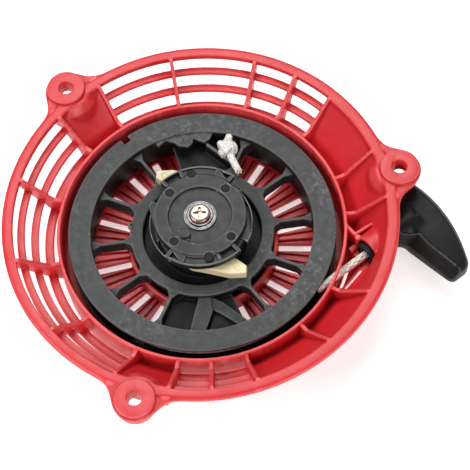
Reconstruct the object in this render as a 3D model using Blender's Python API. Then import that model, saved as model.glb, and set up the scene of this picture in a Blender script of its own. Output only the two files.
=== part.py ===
"""Recoil starter of a small engine, engine side up, lying on its cover face.

Metres, +Z up. The origin is the centre of the cover's outer face, on the crank axis. Ear B is on +X.
"""

import math

import bmesh
import bpy
from mathutils import Matrix, Vector

# Rim: the flat mounting face and its three bolt ears
RIM_Z = 0.0365
RIM_R = 0.0938
RIM_INNER_R = 0.08915
RIM_OPEN_R = 0.0887
RIM_T = 0.0026
EAR_ANGLES = (0, 120, 240)
EAR_HOLE_CIRCLE_R = 0.09717
EAR_HOLE_R = 0.0035
EAR_BOSS_R = 0.0093
EAR_BOSS_RISE = 0.0023
EAR_BOSS_DEPTH = 0.0068
EAR_HOLE_LOW_Z = 0.020
EAR_PLATE_R = 0.0102
EAR_BLEND = 0.012

# Sloped wall, louvres and ribs
WALL_SLOPE = 0.789
WALL_T = 0.0028
WALL_MID_DEPTH = 0.018
OUTLET_BULGE = 0.0065
OUTLET_BULGE_ANGLE = -25
OUTLET_BULGE_HALF = 24
LOUVRE_GROUPS = ((31.8, 111.7), (128.3, 231.7), (248.3, 274.3))
LOUVRE_RINGS = ((0.0842, 0.0876, 0.008), (0.0786, 0.0820, 0.015), (0.0722, 0.0762, 0.022))
LOUVRE_T = 0.0023
LOUVRE_OVERLAP = 0.6
BAY_LOW_Z = 0.0065
BAY_R = 0.0975
LOUVRE_REACH = 0.0050
RIB_T = 0.0020
RIB_FLAT_R = 0.0745
RIB_FOOT_Z = 0.0100
RIB_FOOT_DROP = 0.0025
RIB_RIM_DROP = (0.0012, 0.0032)
RIB_INTO_RIM = 0.0015
RIB_INTO_RING = 0.0008
RIB_UNDER_RING = 0.0006
LOUVRE_RIBS = (31.8, 45.5, 59.6, 86.7, 111.7, 128.3, 153.5, 181.4, 207.6, 231.7, 248.3, 260.8, 274.3)
SOLID_RIBS = (8.3, -8.3, 298.7, 318.5)

# Ring wall, floor and centre post
RING_IN_R = 0.0679
RING_OUT_R = 0.0695
RING_TOP_Z = RIM_Z - 0.013
FLOOR_T = 0.0025
FLOOR_CHAMFER = 0.0020
FLOOR_SLOTS = 24
FLOOR_SLOT_W = 0.0035
FLOOR_SLOT_R = (0.0364, 0.0540)
SPRING_WALL_R = (0.0343, 0.0362)
SPRING_WALL_Z = 0.0105
POST_R = 0.0070
POST_TOP_Z = 0.0310
SCREW_HOLE_R = 0.0027
SCREW_HOLE_Z = 0.0085

# Rope line: the height, offset from the axis and direction of the rope as it leaves the reel
ROPE_Z = RIM_Z - 0.018
ROPE_OFFSET = 0.0588
ROPE_ANGLE = math.radians(24.8)
ROPE_R = 0.0019
ALONG = Vector((math.cos(ROPE_ANGLE), math.sin(ROPE_ANGLE), 0))
ASIDE = Vector((ALONG.y, -ALONG.x, 0))

# Rope outlet. A round feature is (start, end, radius) along the rope line.
# A plate is two points, a thickness, and its low and high Z
OUTLET_COLLAR = (0.0545, 0.0630, 0.0085)
OUTLET_BORE = (0.0480, 0.0660, 0.0062)
RING_WINDOW = (0.0260, 0.0465, 0.0036)
ROPE_GUARD = ((0.0672, -0.0163), (0.0706, -0.0239), 0.0020, 0.0130, 0.0231)
GUARD_STRUT = ((0.0698, -0.0213), (0.0812, -0.0160), 0.0016, 0.0205, 0.0227)
CURVED_SLIT = (0.0708, 0.0723, -36, -28.5, 0.0050, 0.0190)
STRAIGHT_SLIT = ((0.0775, -29), (0.0737, -36.5), 0.0013, 0.0050, 0.0230)

# Reel
REEL_R = 0.0642
REEL_TOP_Z = RIM_Z - 0.0136
REEL_BOTTOM_Z = 0.0061
REEL_FLANGE_T = 0.0020
DRUM_R = 0.0566
DRUM_IN_R = 0.0533
SPOKES = 12
SPOKE_FIRST = 24
SPOKE_T = 0.0015
SPOKE_Z = (0.0112, 0.0195)
SPOKE_FLARE_R = 0.0498
SPOKE_END_R = 0.0543
SPOKE_END_HALF = 0.0028
HUB_RING_R = 0.0345
HUB_RING_T = 0.003
CUP_IN_R = 0.0285
CUP_T = 0.002
HUB_PLATE_Z = (0.0110, 0.0128)
SLEEVE_R = 0.0103
SLEEVE_LOW_Z = 0.0050
NECK_R = 0.0095
NECK_TOP_Z = 0.0271
PEDESTAL_R = 0.0212
PEDESTAL_TOP_Z = 0.0238
PIVOT = Vector((-0.0070, -0.0185, 0))
PIVOT_PIN_R = 0.0021
PIVOT_PIN_Z = (0.0225, 0.0304)
POCKETS = ((0.0440, 60, 113), (0.0335, 235, 281))
POCKET_Z = (0.0135, 0.0155)
NOTCH = (0.0603, 0.0670, 0.0190, 0.0250)
NOTCH_ANGLE = 114.1
NOTCH_W = 0.005
KNOT_ANGLE = math.radians(62)
ROPE_HOLE = (0.0520, 0.0580, 0.0180, 0.0024)

# Rope: the drum's layer, the stretches beside the outlet and the knots, by their distance along the line
WINDING_R = (0.0570, 0.0608)
WINDING_Z = (0.0084, 0.0206)
RUN_ALONG = (0.0230, 0.0610)
END_ALONG = (0.0613, 0.0830)
ROPE_SIDES = 8
KNOT_R = 0.0056
KNOT_CENTRE_R = 0.0458
KNOT_Z = 0.0215
TAIL_END = (0.0340, 43.5, 0.0222)
TAIL_LENGTH = 0.0160
KNOT_WASHER = (0.0023, 0.0052, 0.0010)
KNOT_WASHER_ALONG = 0.0834
GRIP_KNOT_R = 0.0047
GRIP_KNOT_ALONG = 0.0894

# Grip: half length across the rope, the bow of its crown, and where it starts and ends along the rope
GRIP_HALF = 0.0362
GRIP_CROWN = 0.0954
GRIP_BOW = 7.2
GRIP_INNER = 0.0707
GRIP_INNER_RISE = 0.17
GRIP_FLAT_HALF = 0.010
GRIP_Z = ROPE_Z - 0.0017
GRIP_HALF_HIGH = 0.0083
GRIP_THINNING = 0.0035
GRIP_END_R = 0.0042
GRIP_SQUARE = 0.8
GRIP_STATIONS = 13
GRIP_SIDES = 14
GRIP_NOSE = 0.0614
GRIP_NOSE_SECTIONS = ((0, 0.0052), (0.0060, 0.0062), (0.0110, 0.0078), (0.0190, 0.0079))
KNOT_SEAT_ALONG = 0.0832
KNOT_SEAT_R = 0.0056

# Eyelet of the outlet
EYELET_START = 0.0524
EYELET_LENGTH = 0.0078
EYELET_BORE_R = 0.0027
EYELET_TUBE_R = 0.0054
EYELET_FLANGE_R = 0.0058
EYELET_FLANGE_T = 0.0012
EYELET_LIP = 0.0008
EYELET_SIDES = 14

# Ratchets and their guide
RATCHET_Z = (0.0242, 0.0299)
RATCHET_EYE_R = 0.0046
RATCHET_BLADE = (
    (-0.0035, -0.0252), (0.0070, -0.0307), (0.0145, -0.0321),
    (0.0158, -0.0285), (0.0121, -0.0237), (0.0020, -0.0180),
)
GUIDE_LOW_Z = 0.0313
GUIDE_TOP_Z = 0.0361
GUIDE_R = 0.0218
GUIDE_DISH_R = 0.0151
GUIDE_DISH_Z = 0.0343
GUIDE_DISH_T = 0.0024
GUIDE_SLEEVE_R = 0.0092
GUIDE_SLEEVE_Z = 0.0275
GUIDE_LOBE_R = 0.0268
GUIDE_LOBE = (39, 123)
GUIDE_POCKET = (101, 119)
GUIDE_PANEL = (60, 96)
GUIDE_BORE_R = 0.0049

# Small springs
FRICTION_SPRING_R = 0.0102
RATCHET_SPRING_R = 0.0243
RATCHET_SPRING_ARC = (45, -27, 9)
RATCHET_HOOK_R = 0.0018
RATCHET_HOOK_ARC = 6
WIRE_Z = 0.0280
WIRE_R = 0.0006

# Centre screw, its washer and its stepped collar
COLLAR_R = 0.00775
COLLAR_SLEEVE_R = 0.0046
COLLAR_Z = (0.0346, 0.0353)
WASHER_R = 0.0060
WASHER_Z = (0.0356, 0.0362)
SCREW_R = 0.0024
SCREW_LOW_Z = 0.0100
HEAD_R = 0.00465
HEAD_Z = 0.0365
HEAD_T = 0.0016
HEAD_CROWN = 0.0002
CROSS_HALF = 0.0024
CROSS_T = 0.0009

# Recoil spring
SPIRAL_R = (0.0116, 0.0330)
SPIRAL_TURNS = 6
SPIRAL_STEPS = 16
SPIRAL_T = 0.0007
SPIRAL_Z = (0.0029, 0.0099)

# How finely round parts are cut: sides of a large, a middle and a small ring
LARGE_SIDES = 60
MIDDLE_SIDES = 36
SMALL_SIDES = 16

# GAP keeps neighbours apart. EXTRA is how far a cutter runs past a face
GAP = 0.0003
EXTRA = 0.0010


def clear_scene():
    for obj in list(bpy.data.objects):
        bpy.data.objects.remove(obj)


def material(name, color, roughness, metallic=0.0):
    made = bpy.data.materials.new(name)
    made.use_nodes = True
    shader = made.node_tree.nodes["Principled BSDF"]
    shader.inputs["Base Color"].default_value = (*color, 1)
    shader.inputs["Roughness"].default_value = roughness
    shader.inputs["Metallic"].default_value = metallic
    made.diffuse_color = (*color, 1)
    return made


def polar(radius, degrees, z=0.0):
    return Vector((radius * math.cos(math.radians(degrees)), radius * math.sin(math.radians(degrees)), z))


def on_rope_line(along, aside=0.0, z=ROPE_Z):
    """A point in the rope's own directions: along it from the tangent point, and aside from its line."""
    return ALONG * along + ASIDE * (ROPE_OFFSET + aside) + Vector((0, 0, z))


def skin(rings, closed_loop=False):
    """A closed mesh over rings with equal numbers of points. It is capped unless the rings make a closed loop."""
    mesh = bmesh.new()
    made = [[mesh.verts.new(point) for point in ring] for ring in rings]
    pairs = list(zip(made, made[1:]))
    if closed_loop:
        pairs.append((made[-1], made[0]))
    else:
        mesh.faces.new(made[0])
        mesh.faces.new(list(reversed(made[-1])))
    count = len(rings[0])
    for low, high in pairs:
        for i in range(count):
            j = (i + 1) % count
            mesh.faces.new((low[i], high[i], high[j], low[j]))
    return mesh


def cleaned(mesh):
    bmesh.ops.remove_doubles(mesh, verts=mesh.verts, dist=1e-7)
    bmesh.ops.delete(mesh, geom=[edge for edge in mesh.edges if edge.is_wire], context="EDGES")
    bmesh.ops.recalc_face_normals(mesh, faces=mesh.faces)
    return mesh


def turned(profile, segments):
    """A solid of revolution about Z from a closed outline of (radius, z) points."""
    rings = []
    for i in range(segments):
        angle = 360 * i / segments
        rings.append([polar(radius, angle, z) for radius, z in profile])
    return cleaned(skin(rings, closed_loop=True))


def extruded(outline, low, high):
    return cleaned(skin([[Vector((x, y, z)) for x, y in outline] for z in (low, high)]))


def swept(profile, start, stop, step=7.0):
    """A solid from a (radius, z) outline, carried about Z from one angle to another."""
    count = max(1, math.ceil((stop - start) / step))
    angles = [start + (stop - start) * i / count for i in range(count + 1)]
    return cleaned(skin([[polar(radius, a, z) for radius, z in profile] for a in angles]))


def arc_block(inner, outer, start, stop, low, high, step=7.0):
    return swept(((inner, low), (outer, low), (outer, high), (inner, high)), start, stop, step)


def radial_plate(outline, degrees, thickness):
    """A plate standing on a radius, from its (radius, z) outline."""
    turn = Matrix.Rotation(math.radians(degrees), 3, "Z")
    sides = [[turn @ Vector((r, y, z)) for r, z in outline] for y in (-thickness / 2, thickness / 2)]
    return cleaned(skin(sides))


def wall_plate(start, end, thickness, low, high):
    """An upright plate between two points seen from above."""
    along = (Vector(end) - Vector(start)).normalized()
    side = Vector((-along.y, along.x)) * thickness / 2
    corners = [Vector(start) + side, Vector(start) - side, Vector(end) - side, Vector(end) + side]
    return extruded([(c.x, c.y) for c in corners], low, high)


def bar(start, end, sections, segments):
    """A round bar from start to end: sections are (distance from start, radius)."""
    axis = (end - start).normalized()
    side = axis.cross(Vector((0, 0, 1)) if abs(axis.z) < 0.9 else Vector((1, 0, 0))).normalized()
    other = axis.cross(side)
    rings = []
    for distance, radius in sections:
        centre = start + axis * distance
        ring = []
        for i in range(segments):
            angle = 2 * math.pi * i / segments
            ring.append(centre + (side * math.cos(angle) + other * math.sin(angle)) * radius)
        rings.append(ring)
    return cleaned(skin(rings))


def rod(start, end, radius, segments=12):
    return bar(start, end, ((0, radius), ((end - start).length, radius)), segments)


def joined(meshes):
    """Several meshes in one, with their shapes left apart."""
    whole = bmesh.new()
    for mesh in meshes:
        data = bpy.data.meshes.new("shape")
        mesh.to_mesh(data)
        mesh.free()
        whole.from_mesh(data)
        bpy.data.meshes.remove(data)
    return whole


def add_object(name, mesh, finish, origin=Vector((0, 0, 0))):
    """An object from a mesh in world coordinates, with its own origin."""
    bmesh.ops.translate(mesh, verts=mesh.verts, vec=-origin)
    data = bpy.data.meshes.new(name)
    mesh.to_mesh(data)
    mesh.free()
    data.materials.append(finish)
    data.shade_smooth()
    data.set_sharp_from_angle(angle=math.radians(32))
    obj = bpy.data.objects.new(name, data)
    obj.location = origin
    bpy.context.scene.collection.objects.link(obj)
    return obj


def combine(target, mesh, operation, label):
    """Adds a Boolean to the target, with the mesh as its hidden tool."""
    tool = add_object(f"{target.name}_{label}", mesh, target.data.materials[0], target.location.copy())
    tool.hide_render = True
    tool.display_type = "WIRE"
    tool.parent = target
    tool.matrix_parent_inverse = Matrix.Translation(-target.location)
    modifier = target.modifiers.new(label, "BOOLEAN")
    modifier.operation = operation
    modifier.solver = "EXACT"
    modifier.object = tool


def rim_radius(degrees):
    """The rim's outline: the circle and the ears, with a concave blend between them."""

    def outside(radius):
        circle = radius - RIM_R
        point = polar(radius, degrees)
        ear = min((point - polar(EAR_HOLE_CIRCLE_R, a)).length for a in EAR_ANGLES) - EAR_PLATE_R
        near = max(EAR_BLEND - abs(circle - ear), 0) / EAR_BLEND
        return min(circle, ear) - near * near * EAR_BLEND / 4

    low = RIM_INNER_R
    high = RIM_R + 3 * EAR_PLATE_R
    for _ in range(40):
        middle = (low + high) / 2
        if outside(middle) < 0:
            low = middle
        else:
            high = middle
    return low


def wall_radius(z):
    """Radius of the sloped wall's inner surface."""
    return RIM_INNER_R - WALL_SLOPE * (RIM_Z - z)


def wall_height(radius):
    return RIM_Z - (RIM_INNER_R - radius) / WALL_SLOPE


def outlet_bulge(degrees):
    """How far the wall stands out to make room for the rope outlet."""
    away = abs((degrees - OUTLET_BULGE_ANGLE + 180) % 360 - 180) / OUTLET_BULGE_HALF
    return OUTLET_BULGE * math.cos(away * math.pi / 2) ** 2 if away < 1 else 0.0


def shell_profile(degrees):
    rim = rim_radius(degrees)
    middle = RIM_Z - WALL_MID_DEPTH
    wall = wall_radius(middle) + outlet_bulge(degrees)
    under = RIM_Z - RIM_T
    return (
        (rim, RIM_Z),
        (rim, under),
        (wall_radius(under) + WALL_T, under),
        (wall + WALL_T, middle),
        (RING_OUT_R, wall_height(RING_OUT_R - WALL_T)),
        (RING_OUT_R, FLOOR_CHAMFER),
        (RING_OUT_R - FLOOR_CHAMFER, 0),
        (0, 0),
        (0, FLOOR_T),
        (RING_IN_R, FLOOR_T),
        (RING_IN_R, RING_TOP_Z),
        (RING_OUT_R, RING_TOP_Z),
        (RING_OUT_R, wall_height(RING_OUT_R)),
        (wall, middle),
        (RIM_INNER_R, RIM_Z),
    )


def shell_mesh():
    angles = set(range(0, 360, 6))
    for ear in EAR_ANGLES:
        angles.update((ear + step) % 360 for step in (-10, -8, -4, -2, 2, 4, 8, 10))
    rings = [[polar(r, a, z) for r, z in shell_profile(a)] for a in sorted(angles)]
    return cleaned(skin(rings, closed_loop=True))


def rib_outline(reach):
    """A rib from the ring wall to the rim, flat and then rising. reach is how far it backs the wall."""
    start = RING_IN_R + RIB_INTO_RING
    top = RING_TOP_Z - RIB_UNDER_RING
    rim_top, rim_low = (RIM_Z - drop for drop in RIB_RIM_DROP)
    return (
        (start, top),
        (RIB_FLAT_R, top),
        (RIM_INNER_R, rim_top),
        (RIM_INNER_R + RIB_INTO_RIM, rim_top),
        (wall_radius(rim_low) + reach, rim_low),
        (wall_radius(RIB_FOOT_Z) + reach, RIB_FOOT_Z),
        (start, RIB_FOOT_Z - RIB_FOOT_DROP),
    )


def make_housing(red):
    housing = add_object("housing", shell_mesh(), red)

    inner, under, above = RING_OUT_R + GAP, RIM_Z - RIM_T - GAP, RIM_Z + EXTRA
    bay = ((inner, BAY_LOW_Z), (BAY_R, BAY_LOW_Z), (BAY_R, under), (RIM_OPEN_R, under),
           (RIM_OPEN_R, above), (inner, above))
    combine(housing, joined([swept(bay, a, b) for a, b in LOUVRE_GROUPS]), "DIFFERENCE", "bays")

    bars = []
    for start, stop in LOUVRE_GROUPS:
        for inner, outer, depth in LOUVRE_RINGS:
            top = RIM_Z - depth
            ends = (start - LOUVRE_OVERLAP, stop + LOUVRE_OVERLAP)
            bars.append(arc_block(inner, outer, *ends, top - LOUVRE_T, top))
    combine(housing, joined(bars), "UNION", "bars")

    ribs = [radial_plate(rib_outline(LOUVRE_REACH), a, RIB_T) for a in LOUVRE_RIBS]
    ribs += [radial_plate(rib_outline(WALL_T / 2), a, RIB_T) for a in SOLID_RIBS]
    combine(housing, joined(ribs), "UNION", "ribs")

    bosses = []
    holes = []
    for angle in EAR_ANGLES:
        top = polar(EAR_HOLE_CIRCLE_R, angle, RIM_Z + EAR_BOSS_RISE)
        bosses.append(rod(polar(EAR_HOLE_CIRCLE_R, angle, RIM_Z - EAR_BOSS_DEPTH), top, EAR_BOSS_R, 24))
        low = polar(EAR_HOLE_CIRCLE_R, angle, EAR_HOLE_LOW_Z)
        holes.append(rod(low, top + Vector((0, 0, EXTRA)), EAR_HOLE_R, SMALL_SIDES))
    combine(housing, joined(bosses), "UNION", "bosses")
    combine(housing, joined(holes), "DIFFERENCE", "holes")

    sunk = FLOOR_T / 2
    post = (
        (0, sunk), (POST_R, sunk), (POST_R, POST_TOP_Z), (SCREW_HOLE_R, POST_TOP_Z),
        (SCREW_HOLE_R, SCREW_HOLE_Z), (0, SCREW_HOLE_Z),
    )
    inner, outer = SPRING_WALL_R
    spring_wall = ((inner, sunk), (outer, sunk), (outer, SPRING_WALL_Z), (inner, SPRING_WALL_Z))
    centre = [turned(post, SMALL_SIDES), turned(spring_wall, MIDDLE_SIDES)]
    combine(housing, joined(centre), "UNION", "centre")

    slots = []
    for i in range(FLOOR_SLOTS):
        angle = 360 * i / FLOOR_SLOTS
        inner, outer = FLOOR_SLOT_R
        low, high = -EXTRA, FLOOR_T + EXTRA
        outline = ((inner, low), (outer, low), (outer, high), (inner, high))
        slots.append(radial_plate(outline, angle, FLOOR_SLOT_W))
    combine(housing, joined(slots), "DIFFERENCE", "floor_slots")

    add_outlet(housing)
    return housing


def add_outlet(housing):
    """The rope's way out: a collar with its bore, a window in the ring wall, and plates and slits beside them."""
    features = (
        (OUTLET_COLLAR, "UNION", "outlet_collar"),
        (OUTLET_BORE, "DIFFERENCE", "outlet_bore"),
        (RING_WINDOW, "DIFFERENCE", "ring_window"),
    )
    for (start, end, radius), operation, label in features:
        combine(housing, rod(on_rope_line(start), on_rope_line(end), radius, SMALL_SIDES), operation, label)
    combine(housing, wall_plate(*ROPE_GUARD), "UNION", "rope_guard")
    combine(housing, wall_plate(*GUARD_STRUT), "UNION", "guard_strut")
    start, end, thickness, low, high = STRAIGHT_SLIT
    slits = [arc_block(*CURVED_SLIT), wall_plate(polar(*start).xy, polar(*end).xy, thickness, low, high)]
    combine(housing, joined(slits), "DIFFERENCE", "outlet_slits")


def drum_profile():
    under_top, over_bottom = REEL_TOP_Z - REEL_FLANGE_T, REEL_BOTTOM_Z + REEL_FLANGE_T
    return (
        (REEL_R, REEL_TOP_Z), (REEL_R, under_top), (DRUM_R, under_top), (DRUM_R, over_bottom),
        (REEL_R, over_bottom), (REEL_R, REEL_BOTTOM_Z), (DRUM_IN_R, REEL_BOTTOM_Z), (DRUM_IN_R, REEL_TOP_Z),
    )


def hub_profile():
    """The sleeve on the post, the plate round it, the cup's wall with its ring, and the raised pedestal."""
    bore = POST_R + GAP
    plate_low, plate_high = HUB_PLATE_Z
    ring_high = SPOKE_Z[1]
    ring_low = ring_high - HUB_RING_T
    return (
        (bore, SLEEVE_LOW_Z), (SLEEVE_R, SLEEVE_LOW_Z), (SLEEVE_R, plate_low), (CUP_IN_R + CUP_T, plate_low),
        (CUP_IN_R + CUP_T, ring_low), (HUB_RING_R, ring_low), (HUB_RING_R, ring_high), (CUP_IN_R, ring_high),
        (CUP_IN_R, plate_high), (PEDESTAL_R, plate_high), (PEDESTAL_R, PEDESTAL_TOP_Z),
        (NECK_R, PEDESTAL_TOP_Z), (NECK_R, NECK_TOP_Z), (bore, NECK_TOP_Z),
    )


def spoke_mesh(degrees):
    """A spoke whose outer end flares to meet the drum."""
    half = SPOKE_T / 2
    side = [(HUB_RING_R - EXTRA, half), (SPOKE_FLARE_R, half), (SPOKE_END_R, SPOKE_END_HALF)]
    outline = side + [(x, -y) for x, y in reversed(side)]
    turn = Matrix.Rotation(math.radians(degrees), 2)
    return extruded([tuple(turn @ Vector(point)) for point in outline], *SPOKE_Z)


def make_reel(black):
    reel = add_object("reel", turned(drum_profile(), LARGE_SIDES), black)
    spokes = [spoke_mesh(SPOKE_FIRST + 360 * i / SPOKES) for i in range(SPOKES)]
    combine(reel, joined(spokes), "UNION", "spokes")
    combine(reel, turned(hub_profile(), 30), "UNION", "hub")
    pockets = [arc_block(inner, SPOKE_END_R, start, stop, *POCKET_Z) for inner, start, stop in POCKETS]
    combine(reel, joined(pockets), "UNION", "pockets")

    low, high = (Vector((0, 0, z)) for z in PIVOT_PIN_Z)
    pins = [rod(side * PIVOT + low, side * PIVOT + high, PIVOT_PIN_R) for side in (1, -1)]
    combine(reel, joined(pins), "UNION", "pins")

    inner, outer, low, high = NOTCH
    outline = ((inner, low), (outer, low), (outer, high), (inner, high))
    combine(reel, radial_plate(outline, NOTCH_ANGLE, NOTCH_W), "DIFFERENCE", "notch")
    inner, outer, height, radius = ROPE_HOLE
    knot_degrees = math.degrees(KNOT_ANGLE)
    hole = rod(polar(inner, knot_degrees, height), polar(outer, knot_degrees, height), radius, 10)
    combine(reel, hole, "DIFFERENCE", "rope_hole")
    return reel


def make_recoil_spring(steel):
    """A flat strip in an even spiral round the post."""
    inner, outer = SPIRAL_R
    low, high = SPIRAL_Z
    count = SPIRAL_TURNS * SPIRAL_STEPS
    rings = []
    for i in range(count + 1):
        angle = 360 * i / SPIRAL_STEPS
        radius = inner + (outer - inner) * i / count
        near, far = radius - SPIRAL_T / 2, radius + SPIRAL_T / 2
        corners = ((near, low), (far, low), (far, high), (near, high))
        rings.append([polar(r, angle, z) for r, z in corners])
    add_object("recoil_spring", cleaned(skin(rings)), steel)


def ball(centre, radius):
    mesh = bmesh.new()
    bmesh.ops.create_uvsphere(mesh, u_segments=12, v_segments=8, radius=radius)
    bmesh.ops.translate(mesh, verts=mesh.verts, vec=centre)
    return mesh


def make_rope(rope_white, steel):
    """The rope from its knot in the reel to its knot in the grip, and the washer under that knot."""
    inner, outer = WINDING_R
    low, high = WINDING_Z
    winding = ((inner, low), (outer, low), (outer, high), (inner, high))
    add_object("rope_winding", turned(winding, LARGE_SIDES), rope_white)

    start, stop = RUN_ALONG
    add_object("rope_run", rod(on_rope_line(start), on_rope_line(stop), ROPE_R, ROPE_SIDES), rope_white)
    start, stop = END_ALONG
    add_object("rope_end", rod(on_rope_line(start), on_rope_line(stop), ROPE_R, ROPE_SIDES), rope_white)

    knot_at = polar(KNOT_CENTRE_R, math.degrees(KNOT_ANGLE), KNOT_Z)
    knot = add_object("rope_knot", ball(knot_at, KNOT_R), rope_white)
    tail = bar(knot_at, polar(*TAIL_END), ((0, ROPE_R), (TAIL_LENGTH, ROPE_R * 0.75)), ROPE_SIDES)
    combine(knot, tail, "UNION", "tail")

    inner, outer, thickness = KNOT_WASHER
    ring = turned(((inner, 0), (outer, 0), (outer, thickness), (inner, thickness)), SMALL_SIDES)
    facing = Vector((0, 0, 1)).rotation_difference(ALONG).to_matrix().to_4x4()
    place = Matrix.Translation(on_rope_line(KNOT_WASHER_ALONG)) @ facing
    bmesh.ops.transform(ring, matrix=place, verts=ring.verts)
    add_object("knot_washer", ring, steel)
    add_object("grip_knot", ball(on_rope_line(GRIP_KNOT_ALONG), GRIP_KNOT_R), rope_white)


def make_rope_guide(steel):
    """The eyelet in the outlet: a tube with a flange on the reel's side."""
    start = on_rope_line(EYELET_START)
    mouth = EYELET_BORE_R + EYELET_LIP
    half_lip = EYELET_LIP / 2
    sections = (
        (0, mouth), (0, EYELET_FLANGE_R - half_lip),
        (half_lip, EYELET_FLANGE_R), (EYELET_FLANGE_T, EYELET_FLANGE_R),
        (EYELET_FLANGE_T, EYELET_TUBE_R), (EYELET_LENGTH, EYELET_TUBE_R), (EYELET_LENGTH, mouth),
        (EYELET_LENGTH - EYELET_LIP, EYELET_BORE_R), (EYELET_LIP, EYELET_BORE_R),
    )
    rings = []
    for i in range(EYELET_SIDES):
        angle = 2 * math.pi * i / EYELET_SIDES
        out = ASIDE * math.cos(angle) + Vector((0, 0, 1)) * math.sin(angle)
        rings.append([start + ALONG * distance + out * radius for distance, radius in sections])
    add_object("rope_guide", cleaned(skin(rings, closed_loop=True)), steel)


def squared(value):
    """Fills out a cosine or sine, so that an oval section gets squarer."""
    return math.copysign(abs(value) ** GRIP_SQUARE, value)


def make_grip(black):
    """A bowed T handle: oval sections along the crossbar, and a nose that meets the outlet."""
    rings = []
    for i in range(GRIP_STATIONS):
        part = math.sin(math.pi / 2 * (2 * i / (GRIP_STATIONS - 1) - 1))
        across = GRIP_HALF * part
        into_end = max(1 - (GRIP_HALF - abs(across)) / GRIP_END_R, 0)
        end_round = math.sqrt(1 - 0.8 * into_end * into_end)
        crown = GRIP_CROWN - GRIP_BOW * across * across
        inner = GRIP_INNER + max(abs(across) - GRIP_FLAT_HALF, 0) * GRIP_INNER_RISE
        middle = (crown + inner) / 2
        half_along = (crown - inner) / 2 * end_round
        half_high = (GRIP_HALF_HIGH - GRIP_THINNING * part * part) * end_round
        ring = []
        for k in range(GRIP_SIDES):
            angle = 2 * math.pi * k / GRIP_SIDES
            along = middle + half_along * squared(math.cos(angle))
            ring.append(on_rope_line(along, -across, GRIP_Z + half_high * squared(math.sin(angle))))
        rings.append(ring)
    origin = on_rope_line(GRIP_NOSE)
    grip = add_object("grip", cleaned(skin(rings)), black, origin)
    nose = bar(origin, on_rope_line(GRIP_CROWN), GRIP_NOSE_SECTIONS, 20)
    combine(grip, nose, "UNION", "nose")
    hole = rod(on_rope_line(GRIP_NOSE - EXTRA), on_rope_line(KNOT_SEAT_ALONG + EXTRA), ROPE_R + GAP, 10)
    combine(grip, hole, "DIFFERENCE", "rope_hole")
    seat = rod(on_rope_line(KNOT_SEAT_ALONG), on_rope_line(GRIP_CROWN + 4 * EXTRA), KNOT_SEAT_R, SMALL_SIDES)
    combine(grip, seat, "DIFFERENCE", "knot_seat")


def make_ratchet(name, side, cream):
    """A pawl about its pivot. side is 1 or -1: the second pawl is the first turned by half a turn."""
    eye = [PIVOT + polar(RATCHET_EYE_R, a) for a in range(60, 241, 30)]
    low, high = RATCHET_Z
    outline = [(p.x, p.y) for p in eye] + list(RATCHET_BLADE)
    mesh = extruded([(side * x, side * y) for x, y in outline], low, high)
    pivot = side * PIVOT
    ratchet = add_object(name, mesh, cream, pivot)
    above = Vector((0, 0, high + EXTRA))
    below = Vector((0, 0, low - EXTRA))
    combine(ratchet, rod(pivot + below, pivot + above, PIVOT_PIN_R + GAP), "DIFFERENCE", "pivot_hole")


def make_guide(black):
    """A dished disc on a sleeve, with two lobes over the ratchets. A lobe has a pocket and a shallow panel."""
    bore = POST_R + GAP
    dish_low = GUIDE_DISH_Z - GUIDE_DISH_T
    profile = (
        (GUIDE_BORE_R, dish_low), (bore, dish_low), (bore, GUIDE_SLEEVE_Z), (GUIDE_SLEEVE_R, GUIDE_SLEEVE_Z),
        (GUIDE_SLEEVE_R, GUIDE_LOW_Z), (GUIDE_R, GUIDE_LOW_Z), (GUIDE_R, GUIDE_TOP_Z - GAP),
        (GUIDE_R - 2 * GAP, GUIDE_TOP_Z), (GUIDE_DISH_R + 2 * GAP, GUIDE_TOP_Z), (GUIDE_DISH_R, GUIDE_DISH_Z),
        (GUIDE_BORE_R, GUIDE_DISH_Z),
    )
    guide = add_object("ratchet_guide", turned(profile, MIDDLE_SIDES), black)
    lobes = []
    hollows = []
    inside = GUIDE_R - 2 * EXTRA
    top = GUIDE_TOP_Z - 2 * GAP
    near, far = GUIDE_R + EXTRA, GUIDE_LOBE_R - EXTRA
    for turn in (0, 180):
        start, stop = (a + turn for a in GUIDE_LOBE)
        lobes.append(arc_block(inside, GUIDE_LOBE_R, start, stop, GUIDE_LOW_Z + GAP, top))
        start, stop = (a + turn for a in GUIDE_POCKET)
        hollows.append(arc_block(near, far, start, stop, GUIDE_LOW_Z - EXTRA, top + EXTRA))
        start, stop = (a + turn for a in GUIDE_PANEL)
        hollows.append(arc_block(near, far, start, stop, top - EXTRA, top + EXTRA))
    combine(guide, joined(lobes), "UNION", "lobes")
    combine(guide, joined(hollows), "DIFFERENCE", "hollows")


def wire(name, points, radius, steel):
    """A round wire through points, from a curve with filled caps."""
    curve = bpy.data.curves.new(name, "CURVE")
    curve.dimensions = "3D"
    curve.bevel_depth = radius
    curve.bevel_resolution = 2
    curve.use_fill_caps = True
    spline = curve.splines.new("POLY")
    spline.points.add(len(points) - 1)
    for point, place in zip(spline.points, points):
        point.co = (*place, 1)
    curve.materials.append(steel)
    obj = bpy.data.objects.new(name, curve)
    bpy.context.scene.collection.objects.link(obj)
    return obj


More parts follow.
